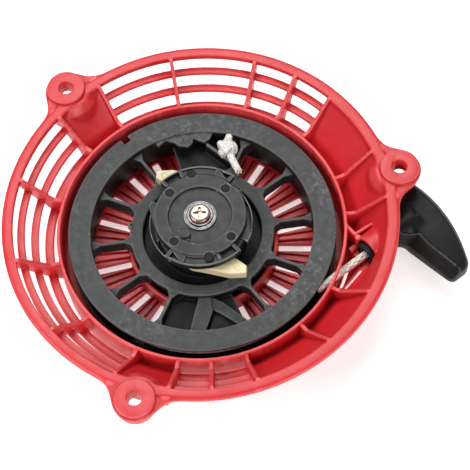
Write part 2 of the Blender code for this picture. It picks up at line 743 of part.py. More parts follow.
def make_small_springs(steel):
    """The guide's friction spring, and each ratchet's spring: an arc whose end turns in as a hook."""
    split_ring = [polar(FRICTION_SPRING_R, a, WIRE_Z) for a in range(20, 341, 20)]
    wire("friction_spring", split_ring, WIRE_R, steel)
    start, stop, step = RATCHET_SPRING_ARC
    for name, turn in (("ratchet_spring_a", 180), ("ratchet_spring_b", 0)):
        points = [polar(RATCHET_SPRING_R, turn + a, WIRE_Z) for a in range(start, stop - 1, -step)]
        for part in (0.5, 1):
            inward = RATCHET_SPRING_R - RATCHET_HOOK_R * part
            points.append(polar(inward, turn + stop - RATCHET_HOOK_ARC * part, WIRE_Z))
        wire(name, points, WIRE_R, steel)


def make_screw(steel, nickel):
    """The screw on the crank axis, with a cross recess, over a plain washer and a stepped collar."""
    bore = SCREW_R + GAP
    low, high = COLLAR_Z
    collar = ((bore, POST_TOP_Z + GAP), (COLLAR_SLEEVE_R, POST_TOP_Z + GAP), (COLLAR_SLEEVE_R, low),
              (COLLAR_R, low), (COLLAR_R, high), (bore, high))
    add_object("screw_collar", turned(collar, SMALL_SIDES), steel)
    low, high = WASHER_Z
    washer = ((bore, low), (WASHER_R, low), (WASHER_R, high), (bore, high))
    add_object("screw_washer", turned(washer, SMALL_SIDES), steel)
    top = HEAD_Z + HEAD_T
    profile = ((0, SCREW_LOW_Z), (SCREW_R, SCREW_LOW_Z), (SCREW_R, HEAD_Z), (HEAD_R, HEAD_Z),
               (HEAD_R, HEAD_Z + HEAD_T / 2), (HEAD_R - EXTRA, top - HEAD_CROWN), (0, top))
    screw = add_object("centre_screw", turned(profile, SMALL_SIDES), nickel)
    floor = HEAD_Z + 2 * GAP
    for label, x, y in (("recess_a", CROSS_HALF, 0), ("recess_b", 0, CROSS_HALF)):
        slot = wall_plate((-x, -y), (x, y), CROSS_T, floor, top + EXTRA)
        combine(screw, slot, "DIFFERENCE", label)


def main():
    clear_scene()
    red = material("red_polypropylene", (0.62, 0.03, 0.035), 0.38)
    black = material("black_nylon", (0.075, 0.078, 0.080), 0.50)
    grip_black = material("grip_black", (0.012, 0.012, 0.014), 0.45)
    cream = material("natural_nylon", (0.78, 0.70, 0.45), 0.45)
    rope_white = material("braided_rope", (0.72, 0.68, 0.58), 0.85)
    steel = material("zinc_steel", (0.60, 0.59, 0.56), 0.30, 1.0)
    spring_steel = material("spring_steel", (0.35, 0.35, 0.36), 0.30, 1.0)
    nickel = material("copper_tinted_steel", (0.66, 0.55, 0.48), 0.22, 1.0)

    make_housing(red)
    make_reel(black)
    make_recoil_spring(spring_steel)
    make_rope(rope_white, steel)
    make_rope_guide(steel)
    make_grip(grip_black)
    make_ratchet("ratchet_a", 1, cream)
    make_ratchet("ratchet_b", -1, cream)
    make_guide(black)
    make_small_springs(spring_steel)
    make_screw(steel, nickel)


main()
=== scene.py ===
"""Visual model of a recoil starter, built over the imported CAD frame.

The moulded pieces are signed distances on a grid, negative inside the material, meshed at their zero surface.
Lengths are metres, in the CAD's frame: the crank axis is Z, and the cover face lies on z = 0.
"""

import math

import bpy
import numpy as np
from mathutils import Matrix, Vector


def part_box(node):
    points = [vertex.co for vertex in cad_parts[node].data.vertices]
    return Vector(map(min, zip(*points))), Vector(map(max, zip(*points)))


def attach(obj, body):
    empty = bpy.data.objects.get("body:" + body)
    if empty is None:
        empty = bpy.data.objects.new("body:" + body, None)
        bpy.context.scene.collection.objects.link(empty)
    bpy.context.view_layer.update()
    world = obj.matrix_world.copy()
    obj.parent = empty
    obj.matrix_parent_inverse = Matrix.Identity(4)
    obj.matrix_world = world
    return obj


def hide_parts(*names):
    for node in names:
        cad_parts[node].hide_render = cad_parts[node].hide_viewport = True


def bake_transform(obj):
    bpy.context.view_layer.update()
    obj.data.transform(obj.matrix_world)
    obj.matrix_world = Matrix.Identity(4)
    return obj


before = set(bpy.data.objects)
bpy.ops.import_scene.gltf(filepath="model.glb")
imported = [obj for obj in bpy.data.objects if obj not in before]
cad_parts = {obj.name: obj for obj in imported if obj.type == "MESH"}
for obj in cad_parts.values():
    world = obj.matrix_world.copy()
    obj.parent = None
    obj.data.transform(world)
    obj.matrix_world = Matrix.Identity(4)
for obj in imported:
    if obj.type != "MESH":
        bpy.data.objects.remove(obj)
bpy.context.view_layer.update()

# Grid steps of the moulded pieces, coarser in a trial run
FINENESS = 1.0
HOUSING_STEP = 0.00045 * FINENESS
REEL_STEP = 0.00042 * FINENESS
GUIDE_STEP = 0.00026 * FINENESS
GRIP_STEP = 0.00036 * FINENESS
SMALL_STEP = 0.00022 * FINENESS
SCREW_STEP = 0.00010 * FINENESS
FAR = 1.0
LOOKUP_STEP = 0.0002
SHARP_ANGLE = 38

# Housing
RIM_Z = 0.0365
RIM_R = 0.0938
RIM_INNER_R = 0.08915
RIM_OPEN_R = 0.0887
RIM_T = 0.0026
EAR_ANGLES = (0, 120, 240)
EAR_HOLE_CIRCLE_R = 0.09717
EAR_HOLE_R = 0.0035
EAR_BOSS_R = 0.0093
EAR_BOSS_TOP = 0.0388
EAR_BOSS_DEPTH = 0.0068
EAR_HOLE_LOW_Z = 0.020
EAR_PLATE_R = 0.0102
EAR_BLEND = 0.012
SWELL = (
    (0, 0.0250), (0.0148, 0.0250), (0.0159, 0.0270), (0.0144, 0.0328), (0.0113, RIM_Z), (0, RIM_Z),
)
SWELL_LIMIT = ((0, 0), (0.0930, 0), (0.0930, 0.0400), (0, 0.0400))
WALL_SLOPE = 0.789
WALL_T = 0.0028
WALL_MID_Z = 0.0185
WALL_LOW_Z = 0.0081
WALL_FOOT_Z = 0.0078
OUTLET_BULGE = 0.0065
OUTLET_BULGE_ANGLE = -25
OUTLET_BULGE_HALF = 24
LOUVRE_GROUPS = ((31.8, 111.7), (128.3, 231.7), (248.3, 274.3))
LOUVRE_RINGS = ((0.08405, 0.08775, 0.0285), (0.07845, 0.08215, 0.0215), (0.07205, 0.07635, 0.0145))
LOUVRE_T = 0.0023
LOUVRE_REACH = 0.0050
LOUVRE_OVERLAP = 0.8
BAY_LOW_Z = 0.0065
BAY_R = 0.0990
LOUVRE_RIBS = (31.8, 45.5, 59.6, 86.7, 111.7, 128.3, 153.5, 181.4, 207.6, 231.7, 248.3, 260.8, 274.3)
SOLID_RIBS = (8.3, -8.3, 298.7, 318.5)
RIB_T = 0.0018
RIB_FLAT_R = 0.0738
RIB_FLAT_Z = 0.0232
RIB_RIM_R = 0.0876
RIB_RIM_Z = 0.0367
RIB_LIP_Z = 0.0353
RIB_SHOULDER_Z = 0.0333
RIB_FOOT_Z = 0.0100
RIB_FOOT_DROP = 0.0025
# (radius, angle) of each mark
RIM_MARKS = (
    (0.0922, 8.3), (0.0922, 351.75), (0.09365, 111.7), (0.0922, 128.1),
    (0.0931, 231.8), (0.0926, 248.0), (0.0920, 273.8), (0.0906, 298.8),
)
RIM_MARK_RADIUS = 0.0021
RING_IN_R = 0.0679
RING_OUT_R = 0.0695
RING_TOP_Z = 0.0235
FLOOR_T = 0.0025
FLOOR_SLOTS = 24
# A slot through the floor and two grooves in the slat beside it: turn, half width, lower height
FLOOR_CUTS = ((0, 0.00175, -0.001), (5.2, 0.0006, 0.0010), (9.8, 0.0006, 0.0010))
FLOOR_SLOT_R = (0.0364, 0.0540)
SPRING_WALL_R = (0.0343, 0.0362)
SPRING_WALL_Z = 0.0105
POST_R = 0.0070
POST_TOP_Z = 0.0310
SCREW_HOLE_R = 0.0027
SCREW_HOLE_Z = 0.0085

# Rope line
ROPE_Z = 0.0185
ROPE_OFFSET = 0.0588
ROPE_ANGLE = math.radians(24.8)
ROPE_R = 0.0019
ALONG = Vector((math.cos(ROPE_ANGLE), math.sin(ROPE_ANGLE), 0))
ASIDE = Vector((ALONG.y, -ALONG.x, 0))

# Rope outlet: start, end and radius along the rope line
OUTLET_BOX = ((0.050, -0.050, 0.004), (0.095, -0.005, 0.036))
OUTLET_COLLAR = (0.0545, 0.0630, 0.0085)
OUTLET_TROUGH = (0.0490, 0.0560, 0.0085)
OUTLET_TROUGH_TOP = 0.0170
OUTLET_MOUTH = (0.0480, 0.0660, 0.0062)
OUTLET_MOUTH_LOW = 0.0150
OUTLET_BORE = (0.0545, 0.0660, 0.0062)
RING_WINDOW = (0.0260, 0.0465, 0.0036)
RING_WINDOW_BOX = ((0.040, -0.055, 0.010), (0.080, -0.020, 0.026))
# Plates and the knob on them: ends, thickness or radius, lowest and highest point, rounding
ROPE_GUARD = ((0.0672, -0.0163), (0.0706, -0.0236), 0.0017, 0.0130, 0.0233, 0.0004)
GUARD_KNOB = (0.0707, -0.0240, 0.0015, 0.0130, 0.0238, 0.0005)
GUARD_STRUT = ((0.0703, -0.0216), (0.0800, -0.0180), 0.0014, 0.0130, 0.0235, 0.0003)
# The block under the rope, along and aside of its line
ROPE_BLOCK = ((0.0525, 0.0030), (0.0570, 0.0030), (0.0570, 0.0062), (0.0525, 0.0062))
ROPE_BLOCK_Z = (0.0130, 0.0215)
CURVED_SLIT = (0.0706, 0.0722, 0.0050, 0.0200, 0.0005)
CURVED_SLIT_ANGLES = (-36.5, -27)
STRAIGHT_SLIT = ((0.0782, -29.0), (0.0740, -36.5))
STRAIGHT_SLIT_SIZE = (0.0014, 0.0050, 0.0230)

# Reel
REEL_R = 0.0642
REEL_TOP_Z = 0.0229
REEL_LOW_Z = 0.0061
FLANGE_T = 0.0020
DRUM_R = 0.0566
DRUM_IN_R = 0.0533
SPOKES = 12
SPOKE_FIRST = 24
POCKET_ANGLES = (84, 264)
SPOKE_T = 0.0017
SPOKE_Z = (0.0112, 0.0195)
# Half widths of a spoke by radius
SPOKE_FLARE = (
    (0.0330, 0.0040), (0.0356, 0.0022), (0.0378, SPOKE_T / 2),
    (0.0492, SPOKE_T / 2), (0.0514, 0.0018), (0.0543, 0.0038),
)
HUB_RING_R = 0.0345
HUB_RING_T = 0.003
HUB_PLATE_Z = (0.0110, 0.0128)
SLEEVE_IN_R = 0.0073
SLEEVE_R = 0.0103
SLEEVE_LOW_Z = 0.0050
NECK_R = 0.0095
NECK_TOP_Z = 0.0271
CUP_IN_R = 0.0285
PEDESTAL_R = 0.0212
PEDESTAL_Z = 0.0238
PIVOT = Vector((-0.0070, -0.0185, 0))
PIVOT_PIN_R = 0.0021
PIVOT_PIN_Z = (0.0225, 0.0304)
POCKET_FLOORS = ((56, 94), (235, 281))
POCKET_FLOOR_Z = (0.0125, 0.0140)
NOTCH = ((0.0609, 0.0190), (0.0670, 0.0190), (0.0670, 0.0250), (0.0609, 0.0250))
NOTCH_ANGLE = 114.1
NOTCH_W = 0.0036
KNOT_ANGLE = 62
KNOT_HOLE = (0.0520, 0.0580, 0.0180, 0.0024)
KNOT_WALL = ((0.0475, 74), (0.0385, 50))
KNOT_WALL_T = 0.0018
KNOT_WALL_Z = (0.0135, 0.0205)
TORN_FLAP = (
    (0.0545, 104), (0.0512, 102), (0.0525, 97), (0.0500, 93), (0.0476, 91), (0.0462, 86), (0.0478, 83),
    (0.0505, 82), (0.0490, 79), (0.0480, 76), (0.0500, 73), (0.0545, 71), (0.0548, 80), (0.0548, 90),
)
GUSSET_LEFT = ((0.0330, 255), (0.0345, 264), (0.0420, 264), (0.0540, 258.5), (0.0540, 250.5), (0.0430, 252))
GUSSET_RIGHT = (
    (0.0330, 258), (0.0355, 268), (0.0385, 273), (0.0545, 284), (0.0545, 279), (0.0430, 268), (0.0400, 262),
)
# Each outline is (radius, angle) points, with its lowest and highest point
RAISED_PARTS = ((TORN_FLAP, 0.0195, 0.0218), (GUSSET_LEFT, 0.0130, 0.0176), (GUSSET_RIGHT, 0.0130, 0.0168))
SPRING_CLIP = (
    (0.0335, 158.0, 0.0192), (0.0353, 160, 0.0203), (0.0353, 163.5, 0.0203), (0.0335, 165.5, 0.0192),
)
SPRING_CLIP_R = 0.0007

# Grip: the outline of its section, from the inner side (-1) to the crown (1) and from bottom to top
GRIP_SECTION = (
    (-0.86, -0.30), (-0.62, -0.78), (0.60, -0.86), (0.86, -0.50),
    (0.86, 0.58), (0.72, 0.84), (-0.30, 0.86), (-0.82, 0.16),
)
GRIP_SECTION_ROUNDING = 0.14
GRIP_HALF = 0.0362
GRIP_CROWN = 0.0954
GRIP_CROWN_BOW = 7.2
GRIP_INNER = 0.0707
GRIP_INNER_FLAT = 0.010
GRIP_INNER_SLOPE = 0.17
GRIP_HALF_HEIGHT = 0.0083
GRIP_END_DROP = 0.0035
GRIP_Z = ROPE_Z - 0.0017
GRIP_CHAMFER_SLOPE = 0.85
GRIP_NOSE = (0.0614, 0.0815)
GRIP_NOSE_RADII = ((0.0614, 0.0674, 0.0724, 0.0804), (0.0052, 0.0062, 0.0078, 0.0079))
# How far along the rope line the ridge lies, by the distance aside of it
GRIP_RIDGE = ((0, 0.0050, 0.0095, 0.0170, 0.0354), (0.0700, 0.0706, 0.0768, 0.0770, 0.0808))
GRIP_RIDGE_RISE = 0.00080
GRIP_RIDGE_HALF = 0.0004
# Rope channel, knot chamber and mouth: start, end and radius
GRIP_BORES = ((0.0604, 0.0842, 0.0022), (0.0832, 0.0928, 0.0052), (0.0900, 0.0994, 0.0030))

# Ratchets and guide
RATCHET_Z = (0.0242, 0.0299)
RATCHET_EYE_R = 0.0046
RATCHET_BLADE = (
    (-0.0035, -0.0252), (0.0070, -0.0307), (0.0145, -0.0321),
    (0.0158, -0.0285), (0.0121, -0.0237), (0.0020, -0.0180),
)
PAWL_SPRING_R = 0.0243
PAWL_SPRING_Z = 0.0280
PAWL_SPRING_WIRE = 0.0006
GUIDE_LOW_Z = 0.0313
GUIDE_TOP_Z = 0.0361
GUIDE_R = 0.0218
GUIDE_DISH_R = 0.0151
GUIDE_DISH_Z = 0.0343
GUIDE_LOBE_R = 0.0268
GUIDE_LOBE_Z = 0.0355
GUIDE_LOBE = (39, 123)
GUIDE_PANEL = (60, 97)
GUIDE_WINDOW = (101, 119)
GUIDE_TRIANGLE = ((0.0258, 42.6), (0.0228, 43.6), (0.0254, 54.5))
# Radii, heights and angles of each lip
GUIDE_LIPS = (
    (0.0210, 0.0256, 0.0302, 0.0322, 144, 197), (0.0246, 0.0263, 0.0302, 0.0330, 163, 181),
    (0.0210, 0.0256, 0.0302, 0.0320, -43, 26), (0.0244, 0.0268, 0.0302, 0.0326, -30, -12),
    (0.0246, 0.0262, 0.0302, 0.0330, -4, 8), (0.0244, 0.0266, 0.0302, 0.0324, 14, 23),
)
GUIDE_DOTS = ((0.0225, 88), (0.0225, 268), (0.0183, 36), (0.0183, 216), (0.0189, 127), (0.0189, 308))
GUIDE_DOT_R = 0.0022
GUIDE_CUT_TOP = 0.038
GUIDE_BORE_R = 0.0049
GUIDE_NECK = (0.0073, 0.0092, 0.0275)
GUIDE_SPOON = ((0.0140, -147.6), (0.0116, -139))
GUIDE_SPOON_T = 0.0048
GUIDE_SLIT = ((0.0098, -140), (0.0103, -131), (0.0121, -125), (0.0145, -124))
GUIDE_SLIT_R = 0.0006

# Screw, washer and collar: outlines as (radius, height) points
COLLAR = (
    (0.0027, 0.0313), (0.0046, 0.0313), (0.0046, 0.0346), (0.00765, 0.0346), (0.00775, 0.0347),
    (0.00775, 0.0352), (0.00765, 0.0353), (0.0073, 0.0353), (0.00715, 0.03515), (0.0070, 0.0353),
    (0.0065, 0.0353), (0.00635, 0.03515), (0.0062, 0.0353), (0.0027, 0.0353),
)
WASHER = (
    (0.0027, 0.0356), (0.0059, 0.0356), (0.0060, 0.0357), (0.0060, 0.0361), (0.0059, 0.0362),
    (0.0027, 0.0362),
)
SCREW_HEAD = (
    (0, 0.0330), (0.0024, 0.0330), (0.0024, 0.0363), (0.0050, 0.0363), (0.0051, 0.0371),
    (0.0047, 0.0377), (0.0038, 0.0380), (0.0022, 0.0381), (0, 0.0381),
)
SCREW_REACH = 0.0053
SCREW_LOW_Z = 0.0345
SHANK_R = 0.0024
SHANK_TOP_Z = 0.0352
CROSS_SLOTS = (((-0.0025, 0.0005), (0.0025, -0.0005)), ((-0.0005, -0.0025), (0.0005, 0.0025)))
CROSS_W = 0.0010
CROSS_Z = (0.0368, 0.040)
CROSS_MIDDLE = (0.0012, 0.0364)

# Rope, its knots and the eyelet
WINDING_TURNS = 3
WINDING_STEPS = 260
WINDING_R = 0.0589
WINDING_LOW_Z = 0.0105
WINDING_RISE = 0.0080
LEAD = (0.0230, 0.0830)
LEAD_STEP = 0.00022
REEL_KNOT = (0.0458, 0.0215)
# Loops of the reel's knot: size, axis and rope radius
REEL_KNOT_LOOPS = ((0.0040, (0.3, 0.5, 0.8), 0.0017), (0.0037, (-0.6, 0.2, 0.7), 0.0016))
TAIL_END = (0.0340, 43.5, 0.0222)
TAIL_R = 0.0018
TAIL_LENGTH = 0.0150
FIBRES = 14
HANDLE_KNOT_ALONG = 0.0880
HANDLE_KNOT_REACH = 0.0052
EYELET_ALONG = 0.0524
EYELET_BAND = ((0.0041, 0.0002), (0.0041, 0.0070), (0.0036, 0.0078), (0.0030, 0.0073), (0.0027, 0.0066))
EYELET_BUSH = (
    (0.0044, -0.0004), (0.0052, -0.0004), (0.0058, 0.0004), (0.0058, 0.0014), (0.0054, 0.0018),
    (0.0054, 0.0078), (0.0042, 0.0078), (0.0042, 0.0),
)

# Most triangles in each moulded piece
LARGE_PIECE = 190000
GUIDE_PIECE = 175000
GRIP_PIECE = 60000
KNOT_PIECE = 24000
SCREW_PIECE = 20000
SMALL_PIECE = 16000

# Stage: name, place, size and power of each light, then the camera
FLOOR_HALF = 6.0
FLOOR_Z = -0.0002
FLOOR_GLOW = 0.50
WORLD_STRENGTH = 0.14
LIGHTS = (
    ("back_softbox", (0.10, 0.62, 1.05), 1.0, 11.0),
    ("left_softbox", (-0.95, -0.15, 0.95), 0.8, 10.0),
    ("front_fill", (0.35, -1.05, 0.75), 0.9, 9.5),
)
CAMERA_LENS = 126.3
CAMERA_PLACE = (-0.037623, -0.368163, 0.717964)
CAMERA_RIGHT = Vector((0.97270, -0.22766, -0.04504))
CAMERA_UP = Vector((0.22236, 0.85871, 0.46171))
CAMERA_AHEAD = Vector((0.06644, 0.45912, -0.88589))


# ---- distances ----

def smooth_min(a, b, blend):
    if blend <= 0:
        return np.minimum(a, b)
    near = np.maximum(blend - np.abs(a - b), 0)
    return np.minimum(a, b) - near * near / (4 * blend)


def smooth_max(a, b, blend):
    return -smooth_min(-a, -b, blend)


def polygon_distance(points, u, v):
    """Distance to an outline in the plane of u and v, negative inside it."""
    best = np.float32(FAR)
    inside = np.zeros(np.broadcast_shapes(u.shape, v.shape), bool)
    for (u0, v0), (u1, v1) in zip(points, points[1:] + points[:1]):
        du, dv = u1 - u0, v1 - v0
        part = np.clip(((u - u0) * du + (v - v0) * dv) / (du * du + dv * dv), 0, 1)
        best = np.minimum(best, (u - u0 - part * du) ** 2 + (v - v0 - part * dv) ** 2)
        if dv:
            inside ^= ((v0 > v) != (v1 > v)) & (u < du * (v - v0) / dv + u0)
    return np.where(inside, -1, 1) * np.sqrt(best)


def profile_lookup(points, u, z):
    """polygon_distance through a table over u, for a large grid with a single row of heights."""
    first = float(u.min())
    rows = first + LOOKUP_STEP * np.arange(int(np.ptp(u) / LOOKUP_STEP) + 3)
    table = polygon_distance(points, rows[:, None], z.reshape(1, -1))
    place = (u - first) / LOOKUP_STEP
    low = place.astype(np.int32)
    part = (place - low).astype(np.float32)
    low = low[..., 0]
    return table[low] * (1 - part) + table[low + 1] * part


def revolved(points, centre=(0, 0)):
    """A solid of revolution round an upright axis, from its (radius, height) outline."""
    return lambda x, y, z: profile_lookup(points, np.hypot(x - centre[0], y - centre[1]), z)


def radial_plate(points, degrees, thickness):
    """An upright plate on a line through the axis, on both sides of it."""
    c, s = cos_sin(degrees)

    def shape(x, y, z):
        side = np.abs(y * c - x * s) - thickness / 2
        return np.maximum(profile_lookup(points, x * c + y * s, z), side)

    return shape


def cos_sin(degrees):
    return math.cos(math.radians(degrees)), math.sin(math.radians(degrees))


def sector(start, stop):
    """The wedge between two angles, less than half a turn apart."""
    (c0, s0), (c1, s1) = cos_sin(start), cos_sin(stop)

    def shape(x, y, z):
        return np.maximum(x * s0 - y * c0, y * c1 - x * s1)

    return shape


def forward(degrees):
    """The half of space on an angle's side of the axis."""
    c, s = cos_sin(degrees)
    return lambda x, y, z: -(x * c + y * s)


def slab(low, high):
    """Everything between two heights."""
    return lambda x, y, z: np.maximum(low - z, z - high)


def rod(start, end, radius, rounding=0.0):
    """A flat-ended round bar."""
    start, end = Vector(start), Vector(end)
    axis = (end - start).normalized()
    length = (end - start).length

    def shape(x, y, z):
        dx, dy, dz = x - start.x, y - start.y, z - start.z
        t = dx * axis.x + dy * axis.y + dz * axis.z
        r = np.sqrt(np.maximum(dx * dx + dy * dy + dz * dz - t * t, 0))
        return smooth_max(r - radius, np.maximum(-t, t - length), rounding)

    return shape


def upright(x0, y0, radius, low, high, rounding=0.0):
    return rod((x0, y0, low), (x0, y0, high), radius, rounding)


def ring_bar(inner, outer, low, high, rounding):
    """A ring with a rounded rectangle for its section."""
    def shape(x, y, z):
        a = np.abs(np.hypot(x, y) - (inner + outer) / 2) - (outer - inner) / 2 + rounding
        b = np.abs(z - (low + high) / 2) - (high - low) / 2 + rounding
        return np.hypot(np.maximum(a, 0), np.maximum(b, 0)) + np.minimum(np.maximum(a, b), 0) - rounding

    return shape


def prism(points, low, high, rounding=0.0):
    """An upright block from an outline seen from above."""
    def shape(x, y, z):
        return smooth_max(polygon_distance(points, x, y), np.maximum(low - z, z - high), rounding)

    return shape


def strip(start, end, half):
    """The four corners of a straight strip between two points."""
    across = (end - start).normalized().cross(Vector((0, 0, 1))) * half
    return flat((start + across, end + across, end - across, start - across))


def plate(start, end, thickness, low, high, rounding=0.0):
    """An upright plate between two points seen from above, with round ends."""
    (x0, y0), (x1, y1) = start, end
    dx, dy = x1 - x0, y1 - y0

    def shape(x, y, z):
        part = np.clip(((x - x0) * dx + (y - y0) * dy) / (dx * dx + dy * dy), 0, 1)
        side = np.hypot(x - x0 - part * dx, y - y0 - part * dy) - thickness / 2
        return smooth_max(side, np.maximum(low - z, z - high), rounding)

    return shape


def cord(points, radius):
    """A round cord through points."""
    def shape(x, y, z):
        best = np.float32(FAR)
        for a, b in zip(points, points[1:]):
            d = b - a
            part = np.clip(((x - a.x) * d.x + (y - a.y) * d.y + (z - a.z) * d.z) / d.length_squared, 0, 1)
            gap = (x - a.x - part * d.x) ** 2 + (y - a.y - part * d.y) ** 2 + (z - a.z - part * d.z) ** 2
            best = np.minimum(best, gap)
        return np.sqrt(best) - radius

    return shape


def both(*shapes):
    """What several shapes have in common."""
    def shape(x, y, z):
        result = shapes[0](x, y, z)
        for other in shapes[1:]:
            result = np.maximum(result, other(x, y, z))
        return result

    return shape


def polar(radius, degrees, z=0.0):
    c, s = cos_sin(degrees)
    return Vector((radius * c, radius * s, z))


def on_rope_line(along, aside=0.0, z=ROPE_Z):
    return ALONG * along + ASIDE * (ROPE_OFFSET + aside) + Vector((0, 0, z))


def rope_rod(start, end, radius, rounding=0.0):
    return rod(on_rope_line(start), on_rope_line(end), radius, rounding)


def flat(points):
    return [(p.x, p.y) for p in points]


def around(centre, reach, low, high):
    """The box round a place, for a shape that lies near it."""
    return (centre[0] - reach, centre[1] - reach, low), (centre[0] + reach, centre[1] + reach, high)


def box_of(points, margin, low, high):
    """The box round points seen from above, between two heights."""
    least = [min(p[i] for p in points) - margin for i in range(2)]
    most = [max(p[i] for p in points) + margin for i in range(2)]
    return least + [low], most + [high]


class Field:
    """Distances on a grid between two corners."""

    def __init__(self, low, high, step):
        self.step = step
        self.low = np.array(low) - 2.6 * step
        counts = np.ceil((np.array(high) - self.low) / step + 2.6).astype(int)
        self.axes = [(self.low[i] + step * np.arange(counts[i])).astype(np.float32) for i in range(3)]
        self.values = np.full(counts, FAR, np.float32)

    def window(self, box, margin):
        low, high = box if box else ([axis[0] for axis in self.axes], [axis[-1] for axis in self.axes])
        cuts = []
        for axis, a, b in zip(self.axes, low, high):
            first, last = np.searchsorted(axis, (a - margin, b + margin))
            cuts.append(slice(max(first - 1, 0), last + 1))
        x = self.axes[0][cuts[0]][:, None, None]
        y = self.axes[1][cuts[1]][None, :, None]
        z = self.axes[2][cuts[2]][None, None, :]
        return tuple(cuts), (x, y, z)

    def add(self, shape, box=None, blend=0.0):
        cuts, place = self.window(box, blend + 2 * self.step)
        self.values[cuts] = smooth_min(self.values[cuts], shape(*place).astype(np.float32), blend)

    def cut(self, shape, box=None, blend=0.0):
        cuts, place = self.window(box, blend + 2 * self.step)
        self.values[cuts] = smooth_max(self.values[cuts], -shape(*place).astype(np.float32), blend)

    def soften(self, passes=1):
        """Rounds edges at about the grid's own scale."""
        for _ in range(passes):
            for axis in range(3):
                v = np.moveaxis(self.values, axis, 0)
                v[1:-1] = (v[:-2] + 2 * v[1:-1] + v[2:]) / 4

    def mesh(self, name, triangles):
        vertices, quads = self.surface()
        data = bpy.data.meshes.new(name)
        data.from_pydata(vertices, [], quads)
        if 2 * len(quads) <= triangles:
            return data
        whole = placed(name, data)
        lighter = whole.modifiers.new("lighter", "DECIMATE")
        lighter.ratio = triangles / (2 * len(quads))
        light = bpy.data.meshes.new_from_object(whole.evaluated_get(bpy.context.evaluated_depsgraph_get()))
        bpy.data.objects.remove(whole)
        bpy.data.meshes.remove(data)
        return light

    def surface(self):
        """Vertices and quads of the zero surface: one vertex in each cell that the surface crosses."""
        values = self.values
        inside = values < 0
        shape = np.array(values.shape) - 1
        count = np.zeros(shape, np.int8)
        for i, j, k in np.ndindex(2, 2, 2):
            count += inside[i:shape[0] + i, j:shape[1] + j, k:shape[2] + k]
        cells = np.argwhere((count > 0) & (count < 8))
        number = np.full(shape, -1, np.int32)
        number[tuple(cells.T)] = np.arange(len(cells))
        total = np.zeros((len(cells), 3))
        hits = np.zeros(len(cells))
        for axis in range(3):
            u, v = (axis + 1) % 3, (axis + 2) % 3
            for i, j in np.ndindex(2, 2):
                corner = np.zeros(3, int)
                corner[u], corner[v] = i, j
                other = corner.copy()
                other[axis] = 1
                first = values[tuple((cells + corner).T)]
                last = values[tuple((cells + other).T)]
                crossed = (first < 0) != (last < 0)
                place = np.tile(corner.astype(float), (crossed.sum(), 1))
                place[:, axis] = first[crossed] / (first[crossed] - last[crossed])
                total[crossed] += place
                hits[crossed] += 1
        vertices = self.low + self.step * (cells + total / hits[:, None])
        quads = []
        for axis in range(3):
            u, v = (axis + 1) % 3, (axis + 2) % 3
            cut_low = [slice(1, -1)] * 3
            cut_high = [slice(1, -1)] * 3
            cut_low[axis], cut_high[axis] = slice(0, -1), slice(1, None)
            low, high = inside[tuple(cut_low)], inside[tuple(cut_high)]
            edges = np.argwhere(low != high)
            outward = low[tuple(edges.T)]
            edges[:, u] += 1
            edges[:, v] += 1
            unit_u, unit_v = np.eye(3, dtype=int)[u], np.eye(3, dtype=int)[v]
            corners = (edges - unit_u - unit_v, edges - unit_v, edges, edges - unit_u)
            quad = np.stack([number[tuple(c.T)] for c in corners], axis=1)
            quad[~outward] = quad[~outward][:, ::-1]
            quads.append(quad)
        return vertices, np.concatenate(quads)


# ---- materials ----

